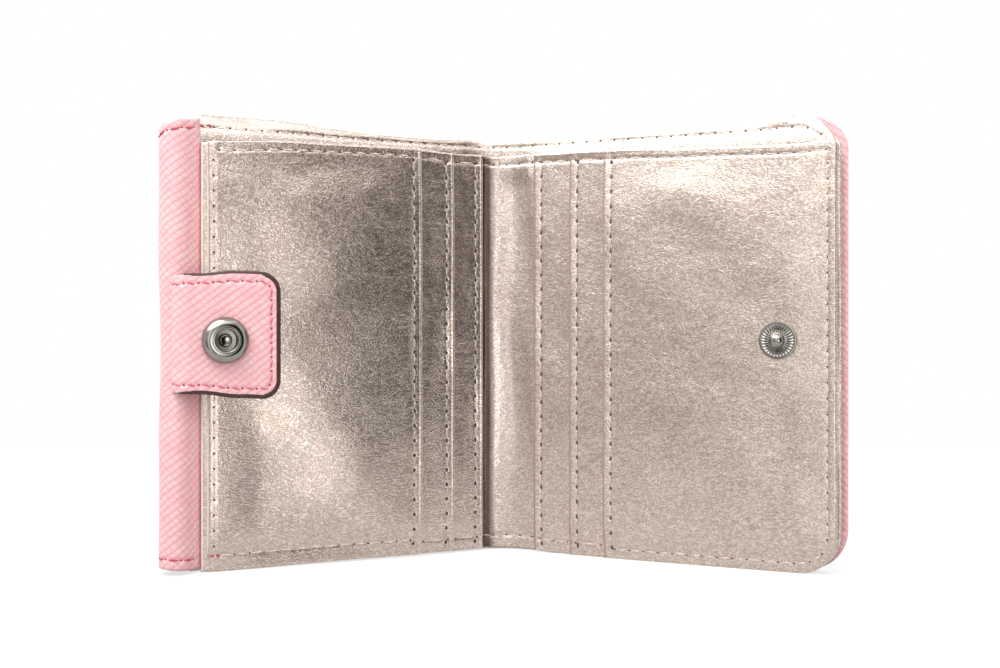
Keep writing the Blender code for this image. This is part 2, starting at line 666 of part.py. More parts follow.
def flap_path():
    """The flap's outer face in (m, z): from its crease down over the pocket's mouth, then down the wall."""
    fall = Vector((FLAP_FACE_M - FLAP_AXIS_M, FLAP_KNEE_Z - FLAP_AXIS_Z)).normalized()
    bend = math.atan2(fall.x, -fall.y)
    centre = (FLAP_FACE_M - FLAP_KNEE_RADIUS, FLAP_KNEE_Z - FLAP_KNEE_RADIUS * math.tan(bend / 2))
    path = [tuple(Vector((FLAP_AXIS_M, FLAP_AXIS_Z)) + fall * SEAT_GAP)]
    path += arc(centre, FLAP_KNEE_RADIUS, bend, 0.0, ARC_STEPS // 2)
    for i in range(ARC_STEPS + 1):
        turn = math.pi / 2 * i / ARC_STEPS
        path.append((FLAP_FACE_M, FLAP_BOTTOM + FLAP_CORNER * (1.0 - math.sin(turn))))
    return path


def flap_layer(name, near, far, setback, flap, look):
    """One layer of the flap, from near to far below its outer face, with round lower corners."""
    path = flap_path()
    start = POCKET_START + FLAP_INSET + setback
    end = POCKET_END - FLAP_INSET - setback
    lows = [start] * len(path)
    highs = [end] * len(path)
    for i in range(1, ARC_STEPS + 1):
        turn = math.pi / 2 * i / ARC_STEPS
        draw_in = FLAP_CORNER * (1.0 - math.cos(turn))
        lows[i - ARC_STEPS - 1] = start + draw_in
        highs[i - ARC_STEPS - 1] = end - draw_in
    outer = offset_path(path, -near)
    inner = offset_path(path, -far)
    shape = bent_sheet(outer, inner, lows, highs, lambda m, z, s: flap.at(s, -COVER_T - m, z))
    return add_piece(name, shape, flap, look)


def make_flap(flap):
    hole = round_hole("flap_hole", POCKET_MIDDLE, COIN_SNAP_Z, COIN_CAP_BARREL_RADIUS + BARREL_ROOM, flap)
    face = flap_layer("coin_flap_face", 0.0, COVER_T, 0.0, flap, PINK)
    lining_depth = COVER_T + SEAT_GAP
    lining = flap_layer("coin_flap_lining", lining_depth, lining_depth + FLAP_LINING_T, FLAP_LINING_SETBACK,
                        flap, CHAMPAGNE)
    for layer in (face, lining):
        cut(layer, hole)
        smooth(layer)


def make_flap_snap(flap):
    profile = socket_profile(COIN_SOCKET_RADIUS, COIN_SOCKET_MOUTH, COIN_SOCKET_HEIGHT,
                             COIN_CAVITY_RADIUS, COIN_CAVITY_HEIGHT)
    base_n = -COVER_T - FLAP_LINING_M + SEAT_GAP
    turned_piece("coin_snap_socket", profile, POCKET_MIDDLE, base_n, COIN_SNAP_Z, flap, NICKEL)
    spring_radius = COIN_CAVITY_RADIUS - SEAT_GAP - COIN_SPRING_WIRE_RADIUS
    spring_n = base_n + COIN_CAVITY_HEIGHT - SEAT_GAP - 2 * COIN_SPRING_WIRE_RADIUS
    ring_spring("coin_snap_spring", spring_radius, COIN_SPRING_WIRE_RADIUS, POCKET_MIDDLE, spring_n,
                COIN_SNAP_Z, flap)
    cap_n = -COVER_T - FLAP_FACE_M - SEAT_GAP
    reach = base_n + BARREL_REACH - cap_n
    cap = [(share * COIN_CAP_RADIUS, part_up * COIN_CAP_HEIGHT) for share, part_up in CAP_DOME_RATIOS]
    cap += [(COIN_CAP_BARREL_RADIUS, 0.0), (COIN_CAP_BARREL_RADIUS, -reach), (0.0, -reach)]
    turned_piece("coin_snap_cap", cap, POCKET_MIDDLE, cap_n, COIN_SNAP_Z, flap, NICKEL, -1)


def centre_on_ground(purse):
    """Moves the purse so that its box stands on the ground, with the origin under its middle."""
    bpy.context.view_layer.update()
    corners = []
    for piece in bpy.context.scene.objects:
        if piece.type == "MESH" and not piece.hide_render:
            corners += [piece.matrix_world @ vertex.co for vertex in piece.data.vertices]
    low = [min(corner[i] for corner in corners) for i in range(3)]
    high = [max(corner[i] for corner in corners) for i in range(3)]
    purse.location = (-(low[0] + high[0]) / 2, -(low[1] + high[1]) / 2, -low[2])
    bpy.context.view_layer.update()


def main():
    clear_scene()
    purse = bpy.data.objects.new("purse_frame", None)
    bpy.context.scene.collection.objects.link(purse)
    ground = (0.0, 0.0, 0.0)
    spine = Body("spine", purse, ground, 0.0, -1, ground)
    back = Body("back_leaf", purse, (-SPINE_WIDTH / 2, 0.0, 0.0), math.pi + REST_LEAN, 1, ground)
    front = Body("front_leaf", purse, (SPINE_WIDTH / 2, 0.0, 0.0), -REST_LEAN, -1, ground)
    tab_origin = (TAB_AXIS_S, TAB_AXIS_N, 0.0)
    tab = Body("closure_tab", back.empty, back.at(*tab_origin), 0.0, 1, tab_origin)
    flap_origin = (POCKET_MIDDLE, -COVER_T - FLAP_AXIS_M, FLAP_AXIS_Z)
    flap = Body("coin_flap", back.empty, back.at(*flap_origin), 0.0, 1, flap_origin)

    make_cover_spine(spine)
    make_spine_layers(spine)
    make_cover_back(back)
    make_back_layers(back)
    make_back_slots(back)
    make_tab_anchor(back)
    make_coin_base(back)
    make_coin_gusset(back)
    make_coin_wall(back)
    make_coin_stud(back)
    make_flap_root(back)
    make_cover_front(front)
    make_front_layers(front)
    make_stud(front)
    make_tab(tab)
    make_tab_snap(tab)
    make_flap(flap)
    make_flap_snap(flap)
    centre_on_ground(purse)


main()
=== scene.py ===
"""The looks of a small two-leaf purse, pink outside and champagne inside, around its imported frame.

Lengths are millimetres in a leaf's own directions until a piece is made: s runs out from the leaf's crease,
n from the inner face of the cover towards the inside of the purse, and z up. A depth m is counted on the back
of the purse, from the outer face of the cover.
"""

import json
import math

import bmesh
import bpy
import numpy as np
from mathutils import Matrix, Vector, kdtree


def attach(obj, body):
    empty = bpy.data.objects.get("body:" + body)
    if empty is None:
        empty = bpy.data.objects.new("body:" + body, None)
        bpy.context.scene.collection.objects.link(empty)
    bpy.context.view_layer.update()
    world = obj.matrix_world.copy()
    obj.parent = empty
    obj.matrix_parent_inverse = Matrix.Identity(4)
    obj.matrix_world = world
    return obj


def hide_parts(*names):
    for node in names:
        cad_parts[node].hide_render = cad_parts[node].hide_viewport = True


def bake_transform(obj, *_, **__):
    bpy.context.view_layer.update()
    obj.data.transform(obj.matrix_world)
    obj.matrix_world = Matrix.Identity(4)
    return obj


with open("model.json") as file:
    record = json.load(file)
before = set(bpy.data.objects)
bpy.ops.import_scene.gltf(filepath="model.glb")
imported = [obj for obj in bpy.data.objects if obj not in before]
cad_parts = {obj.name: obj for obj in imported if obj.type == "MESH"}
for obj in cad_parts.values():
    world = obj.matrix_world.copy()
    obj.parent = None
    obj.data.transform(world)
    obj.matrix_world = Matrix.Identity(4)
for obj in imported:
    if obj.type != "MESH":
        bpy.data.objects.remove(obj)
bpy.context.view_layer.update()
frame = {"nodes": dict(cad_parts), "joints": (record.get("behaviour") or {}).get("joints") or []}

MM = 0.001
PLACES = {joint["name"]: [v / MM for v in joint["pos_m"]] for joint in frame["joints"]}

# Leaves: how far each leans, the half width of the rounded fold and the half width of the spine
LEAN = math.radians(22.5)
BEND = 3.6
HALF_SPINE = 4.9

# Round corners are kept by side and height: s or e for where s starts or ends, b or t for bottom or top

# Covers: the left one turns over a bead and ends as a strip
HEIGHT = 96.0
COVER_T = 0.8
COVER_SEAM = 2.35
COVER_ROLL = 0.55
BEAD_S, BEAD_N, BEAD_R = 69.0, 2.5, 3.3
STRIP_SLOPE = math.radians(40.0)
STRIP_LENGTH = 4.22
LEFT_TOP_SEAM = 94.0
RIGHT_END, RIGHT_HEIGHT = 73.6, 95.6
RIGHT_CORNERS = {"eb": 9.0, "et": 7.6}

# Lining and inner panels: how thick they are, how high their faces lie on the spine and on a leaf, where they
# end, and the lines that their upper and lower edges follow
LINING_T, PANEL_T = 0.55, 0.6
LINING_LEVELS, PANEL_LEVELS = (0.7, 1.5), (1.6, 3.0)
LEFT_LINING_END, RIGHT_LINING_END, LINING_CORNERS = 66.04, 71.5, {"eb": 8.5, "et": 8.0}
LEFT_PANEL_END, RIGHT_PANEL_END, PANEL_CORNERS = 64.0, 72.5, {"eb": 8.5, "et": 2.2}
LINING_SEAM = 93.75
PANEL_TOP = 91.5
PANEL_TOP_SEAM = PANEL_TOP - 2.0
PANEL_LOW_SEAM = 2.8
LEFT_LINING_TOP = ((-5, 94.6), (-2, 94.3), (3, 95.2), (9, 94.8), (26, 94.9), (35, 95.5), (42, 96.3),
                   (49, 96.8), (63, 96.8), (67, 96.4))
RIGHT_LINING_TOP = ((-5, 94.6), (2, 95.0), (5, 95.4), (11, 95.5), (40, 95.4), (54, 95.7), (61, 96.7),
                    (68, 96.8), (73, 96.6))
LEFT_TOP = ((-5, 91.2), (2, 91.3), (8, 91.2), (18, 91.9), (43, 91.6), (61, 90.6), (64, 90.3))
RIGHT_TOP = ((-5, 91.2), (5, 91.4), (16, 91.2), (25, 90.9), (40, 90.4), (64, 89.8), (69, 90.1), (73, 90.9))
LEFT_LOW = ((-5, 0.5), (10, 0.5), (30, 0.45), (60, 0.1), (64, 0.0))
RIGHT_LOW = ((-5, 0.5), (4, 0.5), (9, 0.1), (73, 0.0))

# Card slots: where the folded edges start and the layers end, and soft swellings (s, z, widths, height)
LEFT_SLOTS, LEFT_SLOTS_END = (0.45, 7.8, 15.8), 62.85
RIGHT_SLOTS, RIGHT_SLOTS_END = (4.5, 13.4, 21.6), 71.9
SLOT_END_STEPS = (1.6, 1.2, 0.0)
SLOT_BASE, FIRST_SLOT, SLOT_STEP = 3.0, 3.9, 0.9
SLOT_ROLL = 0.5
RIGHT_SLOT_CORNERS = {"eb": 8.0, "et": 1.8}
LEFT_SLOT_SEAM, RIGHT_SLOT_SEAM, LEFT_OUTER_SEAM = 3.4, 2.1, 1.3
LEFT_SWELLINGS = ((36, 56, 18, 36, 0.85), (30, 20, 10, 12, 0.15), (54, 72, 7, 12, -0.2))
RIGHT_SWELLINGS = ((46, 50, 18, 26, 0.35), (35, 80, 12, 8, 0.2), (62, 20, 8, 12, -0.2))

# Stitches: their pitch, how far the slots' seams lie in, the share of a pitch where the thread shows, and
# the two back-tacks
PITCH = 3.22
SEAM_INSET = 1.95
THREAD_START, THREAD_SHARE = 0.18, 0.68
LINING_TACK = ((64.4, 93.9), (61.0, 94.1))
POCKET_TACK = ((62.7, 3.5), (60.0, 3.3))

# Closure tab and its snap, whose places are a height z, a distance s and a level n
TAB_T = 1.25
TAB_END, TAB_MID_Z, TAB_HALF = 48.1, 49.6, 13.2
TAB_ROOT_S, TAB_TOP_N = 70.1, 8.4
TAB_RISE, TAB_TURN = 1.6, 3.0
TAB_LENGTH = TAB_ROOT_S - TAB_TURN - TAB_END + TAB_RISE + TAB_TURN * math.pi / 2
TAB_ROLL, TAB_CORNER, TAB_SEAM = 0.42, 4.2, 2.1
SNAP_Z, SOCKET_S, SOCKET_N = 48.7, 59.8, 8.7
SNAP_FROM_END = 11.7
WIRE_RING_R, WIRE_N, WIRE_R = 2.62, 0.75, 0.27
STUD_S, STUD_N = 60.02, 6.0

# Coin pocket on the back: base, wall and flap
BASE_S, BASE_Z, BASE_M = (6.0, 68.5), (0.0, 91.5), 1.1
WALL_S, WALL_Z, WALL_M = (9.0, 62.5), (4.0, 66.0), 9.1
POCKET_T, POCKET_LINING_T, POCKET_LINING_DROP = 0.8, 0.4, 1.1
BASE_CORNER, WALL_CORNER, FLAP_CORNER = 3.0, 9.0, 10.0
BASE_SEAM, WALL_SEAM, FLAP_SEAM, FLAP_ROOT_SEAM = 2.1, 2.0, 2.2, 2.6
GUSSET_S, GUSSET_Z, GUSSET_CORNER = (10.6, 60.9), (5.6, 66.0), 7.4
GUSSET_M, GUSSET_DEPTH, GUSSET_T, GUSSET_PLEAT = 1.4, 5.9, 0.6, 1.5
FLAP_S = (9.8, 61.7)
FLAP_LINING_START, FLAP_LINING_INSET, FLAP_LINING_CORNER = 7.5, 1.2, 9.0
FLAP_MARKS = ((2.2, 90.0), (2.3, 86.0), (2.9, 83.4), (5.4, 79.6), (10.8, 73.4), (13.0, 70.2), (13.7, 67.0),
              (13.8, 62.0), (13.8, 50.0), (13.8, 38.5))
COIN_SNAP_S, COIN_SNAP_FROM_END = 35.75, 11.5
COIN_CAP_N, COIN_CAP_Z = -14.9, 50.0

# How far in from its edge a pink layer of the pocket is painted
PAINTED = 0.26


# Places

class Leaf:
    """A leaf with its half of the spine; s below zero lies on the spine."""

    def __init__(self, body, joint, side):
        self.body = body
        self.side = side
        self.x, self.y = PLACES[joint][:2]

    def __call__(self, s, n, z):
        turn = LEAN * np.clip((s + BEND) / (2 * BEND), 0.0, 1.0)
        radius = BEND / math.tan(LEAN / 2)
        beyond = np.maximum(s - BEND, 0.0)
        along = np.minimum(s, -BEND) + radius * np.sin(turn) + beyond * math.cos(LEAN)
        inwards = radius * (1 - np.cos(turn)) + beyond * math.sin(LEAN)
        return self.world(along - n * np.sin(turn), inwards + n * np.cos(turn), z)

    def flat(self, s, n, z):
        """The same place on a leaf that stays flat up to its fold line."""
        return self.world(s * math.cos(LEAN) - n * math.sin(LEAN), s * math.sin(LEAN) + n * math.cos(LEAN), z)

    def world(self, along, inwards, z):
        return np.stack([self.x + self.side * along, self.y - inwards, z + 0.0 * along], axis=-1) * MM

    def point(self, s, n, z):
        return Vector(self(np.float64(s), np.float64(n), np.float64(z)))


LEFT = Leaf("back_leaf", "back_fold", -1)
RIGHT = Leaf("front_leaf", "front_fold", 1)


def wrapped(p, n, z):
    """A place on the left cover's outer face, which turns over the bead; n counts outwards."""
    turn = np.clip((p - BEAD_S) / BEAD_R, 0.0, math.pi + STRIP_SLOPE) - math.pi / 2
    rest = np.maximum(p - BEAD_S - BEAD_R * (math.pi + STRIP_SLOPE), 0.0)
    s = np.minimum(p, BEAD_S) + (BEAD_R + n) * np.cos(turn) - rest * math.cos(STRIP_SLOPE)
    return LEFT(s, BEAD_N + (BEAD_R + n) * np.sin(turn) - rest * math.sin(STRIP_SLOPE), z)


def on_back(s, m, z):
    """A place on the outside of the back leaf, at the depth m."""
    return LEFT(s, -COVER_T - m, z)


def riding(body):
    return lambda piece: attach(piece, body)


def folding(leaf):
    """Bakes a piece's place into its mesh; the piece does not bend between the spine and a leaf."""
    return lambda piece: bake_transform(piece, "spine", leaf.body, start=leaf.point(-2.2, 0, 48),
                                  end=leaf.point(3.2, 0, 48))


def tab_bending(piece):
    LEFT.point(69.6, 5.6, TAB_MID_Z)
    LEFT.point(66.6, 8.0, TAB_MID_Z)
    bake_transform(piece)


def flap_bending(piece):
    LEFT.point(35, -COVER_T - 2.0, 86.5)
    LEFT.point(35, -COVER_T - 3.2, 82.2)
    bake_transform(piece)


def smoothstep(x, low, high):
    t = np.clip((x - low) / (high - low), 0.0, 1.0)
    return t * t * (3 - 2 * t)


def bell(x, middle, width):
    return np.exp(-((x - middle) / width) ** 2)


def curve(x, *marks):
    """A smooth line through (x, value) marks, level beyond its ends."""
    xs, values = np.array(marks, float).T
    x = np.clip(x, xs[0], xs[-1])
    i = np.clip(np.searchsorted(xs, x) - 1, 0, len(xs) - 2)
    t = (x - xs[i]) / (xs[i + 1] - xs[i])
    return values[i] + (values[i + 1] - values[i]) * (1 - np.cos(math.pi * t)) / 2


def along_path(path):
    """The distance of each point of a path from its first one."""
    return np.concatenate([[0], np.cumsum(np.hypot(*np.diff(path, axis=0).T))])


def unit(vectors):
    return vectors / np.linalg.norm(vectors, axis=-1, keepdims=True)


# Sheets of leather

def lines(start, end, marks=(), fine=0.22, coarse=0.8, rolls=(0.0, 0.0), reach=0.9):
    """Grid lines from start to end, close together near the marks and the rolled edges."""
    marks = np.array(list(marks) + [start] * (rolls[0] > 0) + [end] * (rolls[1] > 0) + [1e6])
    steps = [start]
    while steps[-1] < end:
        gap = np.abs(marks - steps[-1]).min()
        steps.append(steps[-1] + min(coarse, fine + max(0.0, gap - reach) * 0.35))
    steps = np.array(steps)
    steps = start + (steps - start) * (end - start) / (steps[-1] - start)
    for roll, edge, sign in ((rolls[0], start, 1), (rolls[1], end, -1)):
        if roll > 0:
            steps = steps[(steps - edge) * sign > roll * 1.25]
            turned = [edge + sign * roll * (1 - math.cos(math.radians(a))) for a in (0, 28, 55, 90)]
            steps = np.sort(np.concatenate([steps, turned]))
    return steps[np.concatenate([[True], np.diff(steps) > 0.02])]


def round_corner(u, v, radius):
    """Moves a square corner's points onto a round one; u and v are distances from its two sides."""
    span = np.maximum(radius - np.minimum(u, v), 1e-9)
    share = np.where(v <= u, (radius - u) / (2 * span), 1 - (radius - v) / (2 * span))
    inside = (u < radius) & (v < radius)
    turn = np.clip(share, 0, 1) * math.pi / 2
    round_u, round_v = radius - span * np.sin(turn), radius - span * np.cos(turn)
    return np.where(inside, round_u, u), np.where(inside, round_v, v)


def tree_of(marks):
    tree = kdtree.KDTree(len(marks))
    for i, (s, z) in enumerate(marks):
        tree.insert((s, z, 0.0), i)
    tree.balance()
    return tree


def function_of(value):
    """A function of (s, z), also where it is the same everywhere."""
    return value if callable(value) else (lambda s, z: value + 0.0 * s)


class Sheet:
    """A closed sheet of leather over a rectangle of (u, v), with rolled edges, round corners and seams."""

    def __init__(self, place, s, z, level, thickness, roll, rolled="ezt", corners=None, bend=None, relief=0.0,
                 edge_drop=0.0):
        self.place, self.s, self.z = place, s, z
        self.level, self.thickness, self.relief = map(function_of, (level, thickness, relief))
        self.roll, self.rolled, self.edge_drop = roll, rolled, edge_drop
        self.corners = corners or {}
        self.bend = bend or (lambda s, z: (s, z))
        self.seams = []

    def flat(self, u, v):
        """The place in (s, z) of a point of the rectangle."""
        (s0, s1), (z0, z1) = self.s, self.z
        s, z = u + 0.0 * v, v + 0.0 * u
        for corner, radius in self.corners.items():
            from_s = s - s0 if "s" in corner else s1 - s
            from_z = z - z0 if "b" in corner else z1 - z
            from_s, from_z = round_corner(from_s, from_z, radius)
            s = s0 + from_s if "s" in corner else s1 - from_s
            z = z0 + from_z if "b" in corner else z1 - from_z
        return self.bend(s, z)

    def inset(self, u, v):
        """The distance from the nearest rolled edge."""
        gaps = {"s": u - self.s[0], "e": self.s[1] - u, "z": v - self.z[0], "t": self.z[1] - v}
        return np.minimum.reduce([gaps[edge] for edge in self.rolled])

    def seam(self, path, pitch=PITCH, phase=0.5, groove=0.14, dimple=0.08, width=0.42, spread=0.4):
        """Adds a seam along (u, v) points of the rectangle; its end holes lie one phase in from the ends."""
        path = np.array(path, float)
        dense = []
        for a, b in zip(path[:-1], path[1:]):
            count = max(2, int(np.linalg.norm(b - a) / 0.12))
            dense.append(a + (b - a) * np.linspace(0, 1, count, endpoint=False)[:, None])
        dense = np.concatenate(dense + [path[-1:]])
        line = np.stack(self.flat(*dense.T), 1)
        length = along_path(line)
        count = max(1, int((length[-1] - 2 * phase) / pitch))
        at = phase + (length[-1] - 2 * phase) * np.arange(count + 1) / count
        holes = np.stack([np.interp(at, length, dense[:, 0]), np.interp(at, length, dense[:, 1])], 1)
        dips = [(marks, tree_of(marks), depth, reach) for marks, depth, reach in
                ((line, groove, width), (np.stack(self.flat(*holes.T), 1), dimple, spread))]
        self.seams.append({"holes": holes, "dense": dense, "length": length, "at": at, "dips": dips})
        return self.seams[-1]

    def dent(self, s, z, bare):
        """How far the seams pull the sheet down, without the dimples of their holes where it is bare."""
        total = np.zeros(np.size(s))
        places = np.stack([np.ravel(s), np.ravel(z)], 1)
        for seam in self.seams:
            for marks, tree, depth, reach in seam["dips"][:1 if bare else 2]:
                inside = (places > marks.min(0) - 3 * reach) & (places < marks.max(0) + 3 * reach)
                near = np.nonzero(inside.all(1))[0]
                gaps = np.array([tree.find((a, b, 0.0))[2] for a, b in places[near].tolist()])
                total[near] += depth * np.exp(-(gaps / reach) ** 2)
        return total.reshape(np.shape(s))

    def height(self, u, v, bare=False):
        """The place in (s, z) and the height n of the face above a point of the rectangle."""
        s, z = self.flat(u, v)
        return s, z, self.level(s, z) + self.relief(s, z) - self.dent(s, z, bare)

    def build(self, name, u, v, looks, ride, slot, nodes, uv_side=1, uv_shift=0.0, paint=0.0):
        """Makes the piece over grid lines u and v; paint is how far in a second look reaches."""
        grid_u, grid_v = np.meshgrid(u, v, indexing="ij")
        s, z, n = self.height(grid_u, grid_v)
        inset = np.maximum(self.inset(grid_u, grid_v), 0.0)
        away = self.roll - np.minimum(inset, self.roll)
        drop = self.roll - np.sqrt(np.maximum(self.roll ** 2 - away ** 2, 0.0))
        thickness = self.thickness(s, z)
        drop = np.minimum(drop * thickness / 2 / self.roll, thickness / 2)
        soft = self.edge_drop * np.exp(-inset / 0.9)
        front = self.place(s, n - drop - soft, z).reshape(-1, 3)
        back = self.place(s, n - thickness + drop - soft, z).reshape(-1, 3)
        joined = (inset < 1e-6).ravel()
        index = np.arange(grid_u.size).reshape(grid_u.shape)
        back_of = np.where(joined, index.ravel(), grid_u.size + np.cumsum(~joined) - 1)
        a, b = index[:-1, :-1].ravel(), index[1:, :-1].ravel()
        c, d = index[1:, 1:].ravel(), index[:-1, 1:].ravel()
        faces = [np.stack([a, b, c, d], 1), back_of[np.stack([d, c, b, a], 1)]]
        edges = {"s": index[0, :], "e": index[-1, ::-1], "z": index[::-1, 0], "t": index[:, -1]}
        for key, edge in edges.items():
            if key not in self.rolled:
                faces.append(np.stack([back_of[edge[1:]], back_of[edge[:-1]], edge[:-1], edge[1:]], 1))
        uv = np.stack([uv_side * s.ravel() + uv_shift, z.ravel()], 1) * MM
        marked = (inset < (paint(grid_u, grid_v) if callable(paint) else paint)).ravel()
        points, uv, marked = (np.concatenate([ahead, behind[~joined]])
                              for ahead, behind in ((front, back), (uv, uv), (marked, marked)))
        return add_mesh(name, points, np.concatenate(faces), looks, ride, slot, nodes, uv, marked)


def add_mesh(name, points, faces, looks, ride, slot=None, nodes=(), uv=None, painted=None):
    """Makes a piece from arrays; a face with a repeated corner is a triangle."""
    mesh = bpy.data.meshes.new(name)
    faces = [tuple(dict.fromkeys(face)) for face in np.asarray(faces).tolist()]
    faces = [face for face in faces if len(face) > 2]
    mesh.from_pydata(np.asarray(points).tolist(), [], faces)
    for look in looks:
        mesh.materials.append(look)
    if uv is not None:
        layer = mesh.uv_layers.new(name="leather")
        corners = np.zeros(len(mesh.loops), np.int32)
        mesh.loops.foreach_get("vertex_index", corners)
        layer.data.foreach_set("uv", np.asarray(uv, np.float32)[corners].ravel())
    if len(looks) > 1:
        second = np.array([painted[list(face)].all() for face in faces], np.int32)
        mesh.polygons.foreach_set("material_index", second)
    mesh.validate()
    mesh.shade_smooth()
    mesh.update()
    mesh.set_sharp_from_angle(angle=math.radians(72))
    turn_outwards(mesh)
    piece = bpy.data.objects.new(name, mesh)
    bpy.context.scene.collection.objects.link(piece)
    ride(piece)
    if nodes:
        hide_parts(*nodes)
    return piece


def turn_outwards(mesh):
    """Turns the faces of a closed mesh outwards, by the sign of its volume."""
    mesh.calc_loop_triangles()
    corners = np.zeros(len(mesh.loop_triangles) * 3, np.int32)
    mesh.loop_triangles.foreach_get("vertices", corners)
    points = np.zeros(len(mesh.vertices) * 3)
    mesh.vertices.foreach_get("co", points)
    tri = points.reshape(-1, 3)[corners.reshape(-1, 3)]
    tri = tri - tri.mean((0, 1))
    if np.einsum("ij,ij->", tri[:, 0], np.cross(tri[:, 1], tri[:, 2])) < 0:
        mesh.flip_normals()


# Threads and needle holes

def tube(points, radius, sides):
    """A closed tube along points: arrays of its vertices and faces. radius is one number or one per point."""
    tangents = unit(np.gradient(points, axis=0))
    guide = np.array([0.0, 0.0, 1.0]) if abs(tangents[0][2]) < 0.9 else np.array([1.0, 0.0, 0.0])
    side = unit(np.cross(tangents, guide))
    up = np.cross(side, tangents)
    turn = np.linspace(0, 2 * math.pi, sides, endpoint=False)
    ring = np.cos(turn)[None, :, None] * side[:, None, :] + np.sin(turn)[None, :, None] * up[:, None, :]
    walls = points[:, None, :] + ring * np.broadcast_to(radius, (len(points),))[:, None, None]
    vertices = np.concatenate([walls.reshape(-1, 3), points[:1], points[-1:]])
    start = (len(points) - 1) * sides
    first, last = len(vertices) - 2, len(vertices) - 1
    faces = []
    for j in range(sides):
        k = (j + 1) % sides
        faces += [(i + j, i + k, i + sides + k, i + sides + j) for i in range(0, start, sides)]
        faces += [(first, k, j, j), (last, start + j, start + k, last)]
    return vertices, np.array(faces)


def needle_hole(centre, normal, across, radius, long):
    """A dark lens of painted shade for the inside of a needle hole, a little above the leather's dimple."""
    across = unit(across - normal * across.dot(normal))
    other = np.cross(normal, across)
    turn = np.linspace(0, 2 * math.pi, 8, endpoint=False)
    ring = centre + radius * (np.cos(turn)[:, None] * across + long * np.sin(turn)[:, None] * other)
    top, bottom = centre + normal * 0.07 * MM, centre - normal * 0.35 * MM
    points = np.concatenate([ring - normal * 0.06 * MM, [top, bottom]])
    faces = [(i, (i + 1) % 8, 8, 8) for i in range(8)] + [((i + 1) % 8, i, 9, 9) for i in range(8)]
    return points, np.array(faces)


class Stitching:
    """The threads and the needle holes of some seams, each kind collected into one piece."""

    def __init__(self, name, thread, hole, ride):
        self.name, self.ride = name, ride
        self.kinds = {"thread_": (thread, []), "holes_": (hole, [])}

    def sew(self, sheet, seam, lift=0.07, ply=0.075, slant=0.06, hole=0.34, flare=0.45, long=1.0):
        """Lays a two-ply thread from hole to hole, spread where it ends by flare, and a pit in every hole."""
        def on_face(uv, up):
            s, z, n = sheet.height(uv[:, 0], uv[:, 1], bare=True)
            return sheet.place(s, n + up, z)

        dense, at = seam["dense"], seam["at"]
        share = np.linspace(0.0, 1.0, 10)
        up = -0.30 + (0.30 + lift) * np.sin(math.pi * share) ** 0.55
        spread = flare * bell(share, 1.0, 0.30)
        radius = ply * (1 - 0.35 * (flare > 0.6) + 0.35 * spread) * MM
        for start, pitch in zip(at, np.diff(at)):
            span = np.interp(start + pitch * (THREAD_START + THREAD_SHARE * share), seam["length"],
                             np.arange(len(dense)))
            low = np.floor(span).astype(int)
            high = np.minimum(low + 1, len(dense) - 1)
            uv = dense[low] + (dense[high] - dense[low]) * (span - low)[:, None]
            middle = on_face(uv, up)
            normal = unit(on_face(uv, up + 1.0) - middle)
            side = np.cross(unit(np.gradient(middle, axis=0)), normal)
            middle = middle + side * (slant * (share - 0.5) * 2 * MM)[:, None]
            for phase in (0.0, math.pi):
                turn = phase + 2.0 * math.pi * (share - 1.0)
                offset = side * np.cos(turn)[:, None] + normal * np.sin(turn)[:, None]
                offset = offset * (ply * (0.8 + 2.0 * spread) * MM)[:, None]
                self.kinds["thread_"][1].append(tube(middle + offset, radius, 5))
        for here in seam["holes"][:, None, :]:
            centre, top = on_face(here, 0.0)[0], on_face(here, 1.0)[0]
            step = on_face(here + [[0.05, 0.0]], 0.0)[0] - centre
            self.kinds["holes_"][1].append(needle_hole(centre, unit(top - centre), step, hole * MM, long))

    def make(self):
        for kind, (look, shapes) in self.kinds.items():
            points, faces = zip(*shapes)
            starts = np.cumsum([0] + [len(group) for group in points[:-1]])
            faces = [group + start for group, start in zip(faces, starts)]
            add_mesh(kind + self.name, np.concatenate(points), np.concatenate(faces), (look,), self.ride)


# Materials

